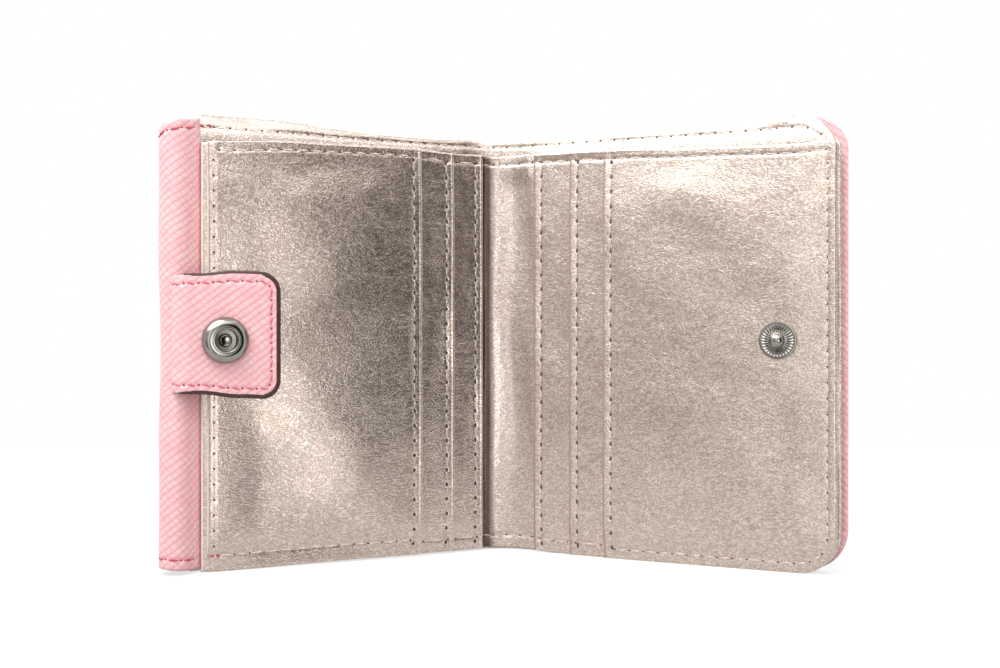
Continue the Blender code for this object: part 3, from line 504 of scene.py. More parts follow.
class Nodes:
    """Short names for the nodes of a material or a world."""

    def __init__(self, block):
        block.use_nodes = True
        self.block = block
        self.tree = block.node_tree

    def put(self, value, socket):
        """Links a node's output to a socket, or sets the socket's value."""
        if isinstance(value, bpy.types.NodeSocket):
            self.tree.links.new(value, socket)
        else:
            socket.default_value = value

    def new(self, kind, values=(), **settings):
        node = self.tree.nodes.new(kind)
        for key, value in settings.items():
            setattr(node, key, value)
        for key, value in dict(values).items():
            self.put(value, node.inputs[key])
        return node

    def look(self, values):
        """Gives the material's shader its values."""
        for key, value in values.items():
            self.put(value, self.tree.nodes["Principled BSDF"].inputs[key])
        return self.block

    def vector(self, kind, *values):
        return self.new("ShaderNodeVectorMath", enumerate(values), operation=kind).outputs[0]

    def math(self, kind, *values):
        return self.new("ShaderNodeMath", enumerate(values), operation=kind).outputs[0]

    def leather_mm(self):
        """The leather's own coordinates in millimetres."""
        place = self.new("ShaderNodeUVMap", uv_map="leather").outputs[0]
        return self.vector("MULTIPLY", place, (1 / MM,) * 3)

    def noise(self, vector, scale, detail=2.0, rough=0.5, distort=0.0, output="Fac"):
        return self.new("ShaderNodeTexNoise", {"Vector": vector, "Scale": scale, "Detail": detail,
                                               "Roughness": rough, "Distortion": distort}).outputs[output]

    def warped(self, vector, scale, amount):
        """The coordinates pushed about by a slow noise."""
        push = self.vector("SUBTRACT", self.noise(vector, scale, output="Color"), (0.5, 0.5, 0.5))
        return self.vector("MULTIPLY_ADD", push, (amount,) * 3, vector)

    def remap(self, *values, smooth=False):
        """A value taken from one range, low to high, into another, which is 0 to 1 if it isn't given."""
        return self.new("ShaderNodeMapRange", enumerate(values),
                        interpolation_type="SMOOTHSTEP" if smooth else "LINEAR").outputs[0]

    def mix(self, share, *colours):
        a, b = (c if isinstance(c, bpy.types.NodeSocket) else (*c, 1.0) for c in colours)
        return self.new("ShaderNodeMix", {0: share, 6: a, 7: b}, data_type="RGBA").outputs[2]

    def bump(self, height, distance, strength=1.0):
        values = {"Height": height, "Distance": distance, "Strength": strength}
        return self.new("ShaderNodeBump", values).outputs[0]

    def seen_directly(self):
        """One for camera, glossy and transmission rays, and one for the last two alone."""
        path = self.new("ShaderNodeLightPath").outputs
        mirrored = self.math("MAXIMUM", path["Is Glossy Ray"], path["Is Transmission Ray"])
        return self.math("MAXIMUM", path["Is Camera Ray"], mirrored), mirrored


def champagne_leather(name, shaded_crease=None):
    """Metallic leather with fine wrinkles; a given place and half width add a dark line of painted shade."""
    n = Nodes(bpy.data.materials.new(name))
    mm = n.leather_mm()
    drift = n.warped(n.warped(mm, 0.06, 9.0), 0.45, 1.2)

    def wrinkles(along, across):
        wave = n.noise(n.vector("MULTIPLY", drift, (along, across, 1.0)), 1.0, 1.5, 0.5, 0.3)
        return n.remap(n.math("ABSOLUTE", n.math("SUBTRACT", wave, 0.5)), 0.0, 0.15)

    creases = n.math("MULTIPLY_ADD", wrinkles(0.95, 2.2), 0.6, n.math("MULTIPLY", wrinkles(2.0, 3.8), 0.4))
    pores = n.noise(mm, 4.5, 2.0, 0.6)
    colour = n.mix(n.remap(n.noise(mm, 0.07), 0.3, 0.7), (0.74, 0.64, 0.57), (0.80, 0.705, 0.635))
    colour = n.mix(n.remap(pores, 0.45, 0.75, 0.0, 0.16), colour, (0.93, 0.86, 0.80))
    colour = n.mix(n.remap(creases, 0.05, 0.95, 0.72, 0.0), colour, (0.30, 0.205, 0.155))
    if shaded_crease:
        place, half = shaded_crease
        # Painted shade: near-black brown in a narrow band of u, where the crease lies in shadow
        across = n.new("ShaderNodeSeparateXYZ", {0: mm}).outputs[0]
        gap = n.math("ABSOLUTE", n.math("SUBTRACT", across, place))
        colour = n.mix(n.remap(gap, half * 0.25, half, 0.93, 0.0), colour, (0.065, 0.04, 0.03))
    return n.look({"Base Color": colour, "Metallic": 0.96, "Roughness": n.remap(pores, 0.3, 0.7, 0.21, 0.29),
                   "Normal": n.bump(n.math("MULTIPLY_ADD", pores, 0.3, creases), 0.000024),
                   "Coat Weight": 0.15, "Coat Roughness": 0.35})


def pink_leather():
    """Cross-grained leather: slanting ridges with thin lines between them and finer ones across."""
    n = Nodes(bpy.data.materials.new("pink_leather_look"))
    mm = n.leather_mm()
    way = n.new("ShaderNodeSeparateXYZ", {0: n.warped(n.warped(mm, 0.3, 0.7), 1.4, 0.14)}).outputs

    def stripes(slope, pitch, full):
        turn = math.radians(slope)
        across = n.math("MULTIPLY_ADD", way[0], -math.sin(turn), n.math("MULTIPLY", way[1], math.cos(turn)))
        wave = n.math("ABSOLUTE", n.math("SINE", n.math("MULTIPLY", across, math.pi / pitch)))
        return n.remap(wave, 0.0, full)

    ridge, cross = stripes(36.0, 1.32, 0.85), stripes(-48.0, 1.26, 0.75)
    grain = n.noise(mm, 3.0, 3.0, 0.6)
    height = n.math("MULTIPLY", ridge, n.math("MULTIPLY_ADD", cross, 0.62, 0.38))
    tone = n.remap(n.noise(mm, 0.28, 3.0, 0.6), 0.34, 0.66)
    colour = n.mix(tone, (0.955, 0.53, 0.56), (0.98, 0.66, 0.64))
    colour = n.mix(n.remap(height, 0.0, 0.85, 0.85, 0.0), colour, (0.91, 0.37, 0.42))
    return n.look({"Base Color": colour, "Roughness": n.remap(grain, 0.3, 0.7, 0.36, 0.48),
                   "Normal": n.bump(n.math("MULTIPLY_ADD", grain, 0.22, height), 0.00007),
                   "Coat Weight": 0.2, "Coat Roughness": 0.3})


def grained(name, low, high, roughness, metallic=0.0, scale=3.0, depth=0.00003):
    """A plain finish with a grain: two tones mixed by a noise that also gives the bump."""
    n = Nodes(bpy.data.materials.new(name))
    mm = n.vector("MULTIPLY", n.new("ShaderNodeTexCoord").outputs["Object"], (1 / MM,) * 3)
    grain = n.noise(mm, scale, 3.0, 0.6)
    return n.look({"Base Color": n.mix(n.remap(grain, 0.3, 0.7), low, high), "Metallic": metallic,
                   "Roughness": n.remap(grain, 0.3, 0.7, roughness * 0.85, roughness * 1.15),
                   "Normal": n.bump(grain, depth, 0.6)})


CHAMPAGNE = champagne_leather("champagne_leather_look")
# The left inner panel's look, with a line of painted shade in the crease beside the spine
CREASE_SHADED = champagne_leather("crease_shade_leather_look", (27.5, 2.6))
PINK = pink_leather()
PAINT = grained("edge_paint_look", (0.035, 0.014, 0.016), (0.085, 0.03, 0.033), 0.42, scale=1.6)
CREAM_THREAD = grained("cream_thread_look", (0.70, 0.57, 0.48), (0.94, 0.85, 0.76), 0.7)
PINK_THREAD = grained("pink_thread_look", (0.70, 0.13, 0.19), (0.84, 0.26, 0.32), 0.65, scale=5.0)
BACK_THREAD = grained("dark_pink_thread_look", (0.50, 0.06, 0.10), (0.70, 0.15, 0.20), 0.7, scale=5.0)
# Painted shade inside needle holes: dark lenses, darkest on the left slots, pinkish on the pink leather
HOLE_SHADE = grained("needle_hole_look", (0.045, 0.027, 0.022), (0.085, 0.052, 0.042), 0.9)
SOFT_HOLE_SHADE = grained("soft_needle_hole_look", (0.09, 0.057, 0.045), (0.16, 0.105, 0.085), 0.9)
PINK_HOLE_SHADE = grained("pink_needle_hole_look", (0.42, 0.07, 0.10), (0.56, 0.13, 0.17), 0.9)
# A painted highlight: near-white cream for the crests of the left slots' folded edges and the left hem's end
CREST_HIGHLIGHT = grained("slot_crest_highlight_look", (0.84, 0.76, 0.68), (0.96, 0.90, 0.83), 0.45, scale=2.0)
# Painted shade: a brown band on the right slots' folded edges, where the roll lies in shade
EDGE_SHADE = grained("slot_edge_shade_look", (0.33, 0.215, 0.17), (0.50, 0.345, 0.29), 0.5, scale=2.0)
NICKEL = grained("nickel_look", (0.27, 0.26, 0.24), (0.35, 0.34, 0.315), 0.11, 1.0, 0.5, 0.000004)
STEEL = grained("steel_look", (0.22, 0.21, 0.20), (0.34, 0.33, 0.32), 0.25, 1.0, 1.2, 0.00001)
BOARD = grained("board_look", (0.28, 0.21, 0.14), (0.42, 0.34, 0.25), 0.9, scale=2.0, depth=0.00005)

SEWING = {name: Stitching(name, thread, hole, ride) for name, thread, hole, ride in (
    ("left_slots", CREAM_THREAD, HOLE_SHADE, riding("back_leaf")),
    ("right_slots", CREAM_THREAD, SOFT_HOLE_SHADE, riding("front_leaf")),
    ("inside_left", CREAM_THREAD, SOFT_HOLE_SHADE, folding(LEFT)),
    ("inside_right", CREAM_THREAD, SOFT_HOLE_SHADE, folding(RIGHT)),
    ("cover_left", BACK_THREAD, PINK_HOLE_SHADE, folding(LEFT)),
    ("cover_right", BACK_THREAD, PINK_HOLE_SHADE, folding(RIGHT)),
    ("coin_pocket", PINK_THREAD, PINK_HOLE_SHADE, riding("back_leaf")),
    ("tab", PINK_THREAD, PINK_HOLE_SHADE, tab_bending),
    ("flap", PINK_THREAD, PINK_HOLE_SHADE, flap_bending),
)}


# Covers, lining and inner panels

def cover_left():
    """From the middle of the spine over the back leaf, the bead and the strip beside the champagne."""
    end = BEAD_S + BEAD_R * (math.pi + STRIP_SLOPE) + STRIP_LENGTH

    def bend(p, z):
        low = curve(p, (-5, 0.3), (6, 0.8), (70, 0.8), (75, 1.3), (86, 0.6))
        top = curve(p, (-5, 93.9), (8, 93.9), (60, 94.9), (70, 93.6), (74.5, 92.9), (77, 93.9), (81, 94.7),
                    (86, 95.6))
        return p, low + (top - low) * z / HEIGHT

    def relief(p, z):
        bow = 0.16 * np.sin(z / 11.0 + 0.6) + 0.10 * np.sin(z / 5.3 + p / 9.0)
        return bow * smoothstep(p, 66, 72) * smoothstep(end - p, 0.0, 2.5)

    sheet = Sheet(wrapped, (-HALF_SPINE, end), (0.0, HEIGHT), 0.0, COVER_T, COVER_ROLL, bend=bend,
                  relief=relief, edge_drop=0.12)
    seams = [sheet.seam([(-HALF_SPINE, z), (end - 0.9, z)], phase=1.6) for z in (LEFT_TOP_SEAM, COVER_SEAM)]
    u = lines(-HALF_SPINE, end, fine=0.45, coarse=0.5, rolls=(0, COVER_ROLL))
    v = lines(0.0, HEIGHT, (LEFT_TOP_SEAM, COVER_SEAM), coarse=0.75, rolls=(COVER_ROLL, COVER_ROLL))
    sheet.build("cover_left", u, v, (PINK,), folding(LEFT), "pink_leather", ("cover_back", "cover_spine"),
                uv_shift=HALF_SPINE)
    for seam in seams:
        SEWING["cover_left"].sew(sheet, seam, lift=0.12, ply=0.13, hole=0.30)


def cover_right():
    """The front leaf's cover, seen from outside; n counts outwards as on the other cover."""
    def bend(s, z):
        low = curve(s, (-5, 0.3), (8, 0.0), (74, 0.0))
        top = curve(s, (-5, 93.9), (6, 94.2), (20, 94.9), (60, 95.1), (67, 96.0), (74, 96.1))
        return s, low + (top - low) * z / RIGHT_HEIGHT

    sheet = Sheet(lambda s, n, z: RIGHT(s, -COVER_T - n, z), (-HALF_SPINE, RIGHT_END), (0.0, RIGHT_HEIGHT),
                  0.0, COVER_T, COVER_ROLL, corners=RIGHT_CORNERS, bend=bend, edge_drop=0.12)
    side, low, top = RIGHT_END - COVER_SEAM, COVER_SEAM, RIGHT_HEIGHT - COVER_SEAM
    seam = sheet.seam([(-HALF_SPINE, low), (side, low), (side, top), (-HALF_SPINE, top)], phase=1.6)
    u = lines(-HALF_SPINE, RIGHT_END, (side,), fine=0.3, coarse=0.55, rolls=(0, COVER_ROLL))
    v = lines(0.0, RIGHT_HEIGHT, (low, top), coarse=0.75, rolls=(COVER_ROLL, COVER_ROLL))
    sheet.build("cover_right", u, v, (PINK,), folding(RIGHT), "pink_leather", ("cover_front",), uv_side=-1,
                uv_shift=-HALF_SPINE)
    SEWING["cover_right"].sew(sheet, seam)


def spine_level(on_spine, on_leaf):
    return lambda s, z: on_spine + (on_leaf - on_spine) * smoothstep(s, -4.5, 7.0)


def lining(side, leaf, end, tops, corners, *nodes):
    """Half of the bill compartment's lining, with its hem standing above the seam."""
    def bend(s, z):
        return s, z + (curve(s, *tops) - HEIGHT) * smoothstep(z, 93.0, 95.6)

    def relief(s, z):
        flare = 0.25 * np.sin(s / 4.1 + 1.0) * np.sin(s / 11.0) * smoothstep(z, 93.5, 96.0)
        wave = 0.55 * bell(s, 58.0, 7.0) * smoothstep(z, 93.8, 96.0) if leaf is RIGHT else 0.0
        return flare + wave - 0.036 * np.maximum(z - 89.5, 0.0) ** 2 * smoothstep(s, -4.0, 8.0)

    sheet = Sheet(leaf, (-HALF_SPINE, end), (0.0, HEIGHT), spine_level(*LINING_LEVELS), LINING_T,
                  LINING_T / 2, corners=corners, bend=bend, relief=relief, edge_drop=0.05)
    path = [(-HALF_SPINE, LINING_SEAM), (end - (2.0 if corners else 0.2), LINING_SEAM)]
    seam = sheet.seam(path + ([(end - 2.0, 84.0)] if corners else []), phase=1.6)
    u = lines(-HALF_SPINE, end, fine=0.45, coarse=0.5, rolls=(0, 0.28))
    v = lines(0.0, HEIGHT, (LINING_SEAM, PANEL_TOP), coarse=3.0, rolls=(0.28, 0.28), reach=2.6)
    sheet.build("lining_" + side, u, v, (CHAMPAGNE,), folding(leaf), "champagne_leather", nodes,
                uv_side=leaf.side, uv_shift=leaf.side * HALF_SPINE)
    SEWING["inside_" + side].sew(sheet, seam)
    return sheet


def hem_bend(tops, lows):
    """Moves a panel's upper and lower edges onto the lines that the real ones follow."""
    def bend(s, z):
        up = (curve(s, *tops) - PANEL_TOP) * smoothstep(z, 60.0, 89.0)
        return s, z + up + curve(s, *lows) * (1 - smoothstep(z, 2.0, 30.0))
    return bend


def inner_panel(side, leaf, end, tops, lows, corners, *nodes):
    """Half of the panel behind the card slots; its left end is a thick hem beside the strip."""
    left = leaf is LEFT

    def hem(s):
        return left * (1.35 * smoothstep(s, end - 3.2, end - 2.0) - 0.32 * np.maximum(s - end + 1.8, 0.0))

    def relief(s, z):
        wave = 0.12 * np.sin(z / 7.0 + 0.5 * s) * smoothstep(z, 4, 14) * smoothstep(PANEL_TOP - z, 2, 10)
        if left:
            return wave + 0.35 * bell(s, -3.4, 1.5) - 0.30 * bell(s, -1.2, 1.2) + hem(s)
        lift = 0.8 * smoothstep(z, 84.0, 88.5) * smoothstep(s, -7.0, -4.5) * smoothstep(4.6 - s, 0.0, 2.0)
        return wave + lift

    roll = 0.4 if left else 0.3
    sheet = Sheet(leaf, (-HALF_SPINE, end), (0.0, PANEL_TOP), spine_level(*PANEL_LEVELS),
                  lambda s, z: PANEL_T + hem(s), roll, corners=corners, bend=hem_bend(tops, lows),
                  relief=relief, edge_drop=0.05)
    seams = [sheet.seam([(-HALF_SPINE, z), (9.0, z)], phase=1.6) for z in (PANEL_TOP_SEAM, PANEL_LOW_SEAM)]
    u = lines(-HALF_SPINE, end, (0.0,), fine=0.4, coarse=2.0, rolls=(0, roll), reach=9.0)
    v = lines(0.0, PANEL_TOP, (PANEL_LOW_SEAM, PANEL_TOP_SEAM), coarse=0.9, rolls=(roll, roll))
    # The left panel's look has painted shade in the crease beside the spine
    sheet.build("inner_panel_" + side, u, v, (CREASE_SHADED if left else CHAMPAGNE, CREST_HIGHLIGHT), folding(leaf),
                "champagne_leather", nodes, uv_side=leaf.side, uv_shift=leaf.side * HALF_SPINE + 31.0,
                # on the left the hem's end gets the painted highlight
                paint=lambda a, b: 0.42 * left * (a > end - 0.5))
    for seam in seams:
        SEWING["inside_" + side].sew(sheet, seam)


# Card slots

def card_slot(leaf, i, starts, end, corners, tops, lows, swellings, node):
    """One slot layer: a folded edge with its seam near the purse's fold, sewn along the other sides."""
    left, wide = leaf is LEFT, i == 2
    start, end = starts[i], end - SLOT_END_STEPS[i]
    after = end if wide else starts[i + 1]
    level = FIRST_SLOT + SLOT_STEP * i
    seed = i + 1.0 + leaf.side * 0.3

    def press(s, z):
        """How thick the stack is where it is sewn, as a share of its full height."""
        low = 0.60 + 0.40 * smoothstep(z, 0.8, 8.0)
        high = 0.72 + 0.28 * smoothstep(PANEL_TOP - z, 0.8, 16.0)
        return low * high * (0.90 + 0.10 * smoothstep(end - s, 0.8, 9.0))

    def swelling(s, z):
        up = 0.10 * np.sin(z / 8.3 + seed) * np.sin(s / 6.1 + seed * 2)
        up = up + 0.06 * np.sin(z / 3.7 + s / 5.0 + seed)
        for s0, z0, width_s, width_z, height in swellings if wide else ():
            up = up + height * bell(s, s0, width_s) * bell(z, z0, width_z)
        inner = smoothstep(z, 3, 12) * smoothstep(PANEL_TOP - z, 3, 12) * smoothstep(s, start, start + 4)
        return up * inner * smoothstep(end - s, 1, 12)

    def relief(s, z):
        edge = 0.07 * np.sin(z / 5.1 + seed * 3.0) * bell(s, start, 2.5)
        height, place, width = (0.13, 0.30, 0.30) if left else (0.08, 0.7, 0.35)
        lip = height * bell(s, start + place, width) + 0.15 * bell(z, PANEL_TOP - 0.6, 0.5)
        under = 0.0 if wide else 0.16 * bell(s, after, 1.2) * smoothstep(z, 2, 6)
        return swelling(s, z) + edge + lip + under + (pocket_fold(s, z) if left and wide else 0.0)

    def pocket_fold(s, z):
        """The left pocket's soft fold, which runs down from the tab to the slots, and its falling edge."""
        slant = -0.75 * smoothstep((s - 45) * 0.847 - (z - 31) * 0.532, -9, 9)
        slant = slant * smoothstep(z, 0.5, 5.0) * smoothstep(end - s, 0.5, 12)
        return slant - 0.30 * np.maximum(s - end + 1.2, 0.0)

    def second_look_reach(a, b):
        """How much of each edge has painted light: a highlight on left folds and outer end, shade on right
        folds.
        """
        width = 0.62 * (a < start + 0.62)
        if left:
            width = 0.38 * (a < start + 0.5) + 0.30 * wide * (a > end - 0.4)
        return width * (b < PANEL_TOP - 0.5)

    def thickness(s, z):
        return 0.86 * press(s, z) + (0.8 * smoothstep(s, end - 2.0, end - 0.9) if wide else 0.0)

    sheet = Sheet(leaf.flat, (start, end), (0.0, PANEL_TOP),
                  lambda s, z: SLOT_BASE + (level - SLOT_BASE) * press(s, z), thickness, SLOT_ROLL, "sezt",
                  corners, hem_bend(tops, lows), relief, edge_drop=0.04)
    row, low = start + SEAM_INSET, LEFT_SLOT_SEAM if left else RIGHT_SLOT_SEAM
    out = end - (LEFT_OUTER_SEAM if left else SEAM_INSET)
    phase = 1.2 + 0.4 * i
    seams = [sheet.seam([(row, 0.6), (row, PANEL_TOP - 0.9)], phase=phase, groove=0.03 if left else 0.10,
                        width=0.34, dimple=0.14, spread=0.42)]
    if wide:
        path = [(start + 0.6, low), (out, low), (out, PANEL_TOP_SEAM), (start + 0.6, PANEL_TOP_SEAM)]
        seams.append(sheet.seam(path, phase=phase, groove=0.10, width=0.34))
        u = lines(start, end, (row, start + 0.62, out), coarse=0.62, rolls=(SLOT_ROLL, SLOT_ROLL))
    else:
        seams += [sheet.seam([(start + 0.5, z), (after + 0.2, z)], phase=0.9)
                  for z in (PANEL_LOW_SEAM, PANEL_TOP_SEAM)]
        near = lines(start, after + 1.5, (row, start + 0.62), coarse=0.55, rolls=(SLOT_ROLL, 0))
        u = np.concatenate([near, lines(after + 1.5, end, coarse=4.0, fine=0.6, rolls=(0, SLOT_ROLL))[1:]])
    v = lines(0.0, PANEL_TOP, (RIGHT_SLOT_SEAM, LEFT_SLOT_SEAM, PANEL_TOP_SEAM), coarse=0.55, fine=0.25,
              rolls=(SLOT_ROLL, SLOT_ROLL))
    # The second look is a painted highlight on the left slots' edges and painted shade on the right ones
    sheet.build(node + "_leather", u, v, (CHAMPAGNE, CREST_HIGHLIGHT if left else EDGE_SHADE), riding(leaf.body),
                "champagne_leather", (node,), uv_side=leaf.side, uv_shift=90.0 * seed, paint=second_look_reach)
    return sheet, seams


def card_slots(side, leaf, starts, end, corners, tops, lows, swellings, nodes):
    """The three slot layers of a leaf; the left pocket's seam ends in a back-tack."""
    for i in range(3):
        sheet, seams = card_slot(leaf, i, starts, end, corners, tops, lows, swellings, f"{nodes}_{i + 1}")
        if leaf is LEFT and i == 2:
            back_tack(sheet, POCKET_TACK, 0.3)
        for seam in seams:
            row = seam is seams[0]
            broad = leaf is RIGHT and row
            SEWING[side + "_slots"].sew(sheet, seam, lift=0.10, ply=0.10, flare=1.0 if row else 0.2,
                                        slant=0.15 if broad else 0.04, hole=0.38 if row else 0.26,
                                        long=1.7 if broad else 1.15)


def back_tack(sheet, path, lift):
    """The short tight stitches that lock a seam's end, in the cover's pink thread."""
    seam = sheet.seam(path, pitch=1.1, phase=0.1)
    SEWING["cover_left"].sew(sheet, seam, lift=lift, ply=0.15, hole=0.2, slant=0.3)


def leather_inside():
    sheet = lining("left", LEFT, LEFT_LINING_END, LEFT_LINING_TOP, None, "bill_lining_back",
                   "bill_lining_spine")
    back_tack(sheet, LINING_TACK, 0.25)
    lining("right", RIGHT, RIGHT_LINING_END, RIGHT_LINING_TOP, LINING_CORNERS, "bill_lining_front")
    inner_panel("left", LEFT, LEFT_PANEL_END, LEFT_TOP, LEFT_LOW, None, "inner_panel_back",
                "inner_panel_spine")
    inner_panel("right", RIGHT, RIGHT_PANEL_END, RIGHT_TOP, RIGHT_LOW, PANEL_CORNERS, "inner_panel_front")
    card_slots("left", LEFT, LEFT_SLOTS, LEFT_SLOTS_END, None, LEFT_TOP, LEFT_LOW, LEFT_SWELLINGS,
               "card_slot_back")
    card_slots("right", RIGHT, RIGHT_SLOTS, RIGHT_SLOTS_END, RIGHT_SLOT_CORNERS, RIGHT_TOP, RIGHT_LOW,
               RIGHT_SWELLINGS, "card_slot_front")


# Turned metal

def arc(cx, cy, radius, start, end, steps=8):
    turns = np.radians(np.linspace(start, end, steps + 1))
    return [(cx + radius * math.cos(t), cy + radius * math.sin(t)) for t in turns]


def turned_piece(name, profile, leaf, place, body, look, slot, node, outwards=1, sides=64, ribs=None):
    """A turned shape on a leaf at the place (s, n, z); ribs(turn, radius) is how far a point moves up."""
    radius, height = np.array(profile, float).T[:, :, None]
    turn = np.linspace(0, 2 * math.pi, sides, endpoint=False)[None, :]
    up = height + (ribs(turn, radius) if ribs else 0.0 * turn)
    s, n, z = place
    points = leaf(s + radius * np.cos(turn), n + outwards * up, z + radius * np.sin(turn)).reshape(-1, 3)
    faces = []
    for i in range(0, (len(profile) - 1) * sides, sides):
        for j in range(sides):
            k = (j + 1) % sides
            faces.append((i + j, i + k, i + sides + k, i + sides + j))
    piece = add_mesh(name, points, faces, (look,), riding(body), slot, (node,))
    weld(piece)


def weld(piece):
    """Joins points that lie in one place, such as those on a turned shape's axis."""
    work = bmesh.new()
    work.from_mesh(piece.data)
    bmesh.ops.remove_doubles(work, verts=work.verts, dist=1e-7)
    bmesh.ops.recalc_face_normals(work, faces=work.faces)
    work.to_mesh(piece.data)
    work.free()
    piece.data.shade_smooth()
    piece.data.set_sharp_from_angle(angle=math.radians(38))


def tab_snap():
    """The tab's socket, a broad polished ring round a mouth, with its wire spring, and the cap under it."""
    place = (SOCKET_S, SOCKET_N, SNAP_Z)
    ring = [(0.0, 0.02), (4.55, 0.0)] + arc(4.55, 0.32, 0.32, -80, 20, 5)
    ring += [(4.83, 0.75), (4.68, 1.25), (4.40, 1.72), (3.95, 2.08), (3.45, 2.28), (3.05, 2.36), (2.75, 2.33)]
    ring += arc(2.58, 2.16, 0.20, 60, 185, 6)
    ring += [(2.36, 1.70), (2.30, 1.45), (2.40, 1.32), (3.3, 1.3), (3.35, 1.2), (3.30, 0.30), (1.40, 0.26),
             (1.30, 0.55), (1.12, 0.68), (0.92, 0.62), (0.80, 0.40), (0.0, 0.22)]
    turned_piece("snap_socket_ring", ring, LEFT, place, "closure_tab", NICKEL, "nickel", "snap_socket",
                 sides=96)
    cap = [(0.0, -2.3), (4.2, -2.3), (4.48, -2.15), (4.5, -1.95), (1.45, -1.9), (1.4, -0.2), (1.2, 0.12),
           (1.05, 0.18), (0.9, 0.0), (0.55, -0.35), (0.0, -0.5)]
    turned_piece("snap_cap", cap, LEFT, place, "closure_tab", NICKEL, "nickel", "snap_socket_cap")
    turn = np.radians(np.linspace(-75, 255, 60))
    wire = LEFT(SOCKET_S + WIRE_RING_R * np.cos(turn), SOCKET_N + WIRE_N, SNAP_Z + WIRE_RING_R * np.sin(turn))
    add_mesh("snap_wire", *tube(wire, WIRE_R * MM, 12), (STEEL,), riding("closure_tab"), "steel",
             ("snap_spring",))


def stud_snap():
    """The front leaf's stud on its ribbed base."""
    profile = [(0.0, 0.0), (3.5, 0.0), (3.9, 0.05), (3.95, 0.25), (3.85, 0.48), (3.55, 0.55), (3.3, 0.50),
               (3.05, 0.44), (2.4, 0.50), (1.9, 0.62), (1.55, 0.72), (1.35, 0.85), (1.30, 1.0)]
    profile += arc(0.0, 1.8, 1.7, -40, 90, 12)[:-1] + [(0.0, 3.5)]
    count = 30

    def ribs(turn, radius):
        band = smoothstep(radius, 1.55, 1.95) * (1 - smoothstep(radius, 2.9, 3.3))
        return 0.16 * np.cos(count * turn) * band

    turned_piece("snap_stud_ribbed", profile, RIGHT, (STUD_S, STUD_N, SNAP_Z), "front_leaf", NICKEL, "nickel",
                 "snap_stud", sides=count * 8, ribs=ribs)


def coin_snap():
    profile = [(0.0, 1.4), (1.4, 1.36), (2.8, 1.2), (3.9, 0.92), (4.7, 0.55), (5.1, 0.22), (5.2, 0.05),
               (5.0, -0.02), (0.9, 0.0), (0.9, -3.2), (0.0, -3.2)]
    turned_piece("coin_cap", profile, LEFT, (COIN_SNAP_S, COIN_CAP_N, COIN_CAP_Z), "coin_flap", NICKEL,
                 "nickel", "coin_snap_cap", outwards=-1, sides=72)


# Closure tab

def tab_place(p, d, z):
    """A place on the tab's upper face: up out of the bead's crest, over, and flat towards its free end."""
    up = np.clip(p, 0, TAB_RISE)
    turn = np.clip((p - TAB_RISE) / TAB_TURN, 0, math.pi / 2)
    flat = np.maximum(p - TAB_RISE - TAB_TURN * math.pi / 2, 0)
    s = TAB_ROOT_S - TAB_TURN * (1 - np.cos(turn)) - flat
    n = TAB_TOP_N - TAB_TURN - TAB_RISE + up + TAB_TURN * np.sin(turn)
    return LEFT(s + d * np.cos(turn), n + d * np.sin(turn), z)


def closure_tab():
    def bend(p, z):
        above = curve(p, (0, 12.4), (8, 12.9), (16, 13.6), (TAB_LENGTH, 13.5))
        below = curve(p, (0, 11.8), (8, 12.0), (17, 13.0), (TAB_LENGTH, 13.5))
        return p, TAB_MID_Z + (z - TAB_MID_Z) * np.where(z > TAB_MID_Z, above, below) / TAB_HALF

    def relief(p, z):
        crown = 0.18 * smoothstep(TAB_HALF - np.abs(z - TAB_MID_Z), 0.0, 3.0)
        from_snap = np.hypot(p - (TAB_LENGTH - SNAP_FROM_END), z - SNAP_Z)
        return crown * smoothstep(TAB_LENGTH - p, 0.0, 3.0) - 0.12 * bell(from_snap, 5.0, 1.6)

    def second_look_reach(p, z):
        """Edge paint, widest at the free end; wider along the bottom as partly painted shadow; fades to the
        bead.
        """
        end = smoothstep(p, TAB_LENGTH - 5.0, TAB_LENGTH - 3.0)
        # along the bottom the wider dark band stands partly for painted shadow under the tab
        under = 1 - smoothstep(z, bottom + 1.0, bottom + 3.0)
        return (0.62 + 0.44 * end + 0.34 * under * (1 - end)) * smoothstep(p, 0.5, 7.5)

    bottom, top = TAB_MID_Z - TAB_HALF, TAB_MID_Z + TAB_HALF
    sheet = Sheet(tab_place, (0.0, TAB_LENGTH), (bottom, top), 0.0, TAB_T, TAB_ROLL,
                  corners={"eb": TAB_CORNER, "et": TAB_CORNER}, bend=bend, relief=relief, edge_drop=0.10)
    low, high, end = bottom + TAB_SEAM, top - TAB_SEAM, TAB_LENGTH - TAB_SEAM
    seam = sheet.seam([(1.5, low), (end, low), (end, high), (1.5, high)], pitch=2.95, phase=0.8, dimple=0.14)
    u = lines(0.0, TAB_LENGTH, (end, TAB_LENGTH - 0.45), coarse=0.4, fine=0.15, rolls=(0, TAB_ROLL))
    v = lines(bottom, top, (low, high), coarse=0.42, fine=0.15, rolls=(TAB_ROLL, TAB_ROLL))
    sheet.build("tab_leather", u, v, (PINK, PAINT), tab_bending, "pink_leather",
                ("tab_face", "tab_backing", "tab_anchor"), paint=second_look_reach)
    SEWING["tab"].sew(sheet, seam, lift=0.09, ply=0.12, slant=0.28, hole=0.30, flare=0.0)


# Coin pocket

def loop(s, z, inset):
    """A closed seam path, in from the sides of a rectangle."""
    s0, s1, z0, z1 = s[0] + inset, s[1] - inset, z[0] + inset, z[1] - inset
    return [(s0, z1), (s0, z0), (s1, z0), (s1, z1), (s0, z1)]


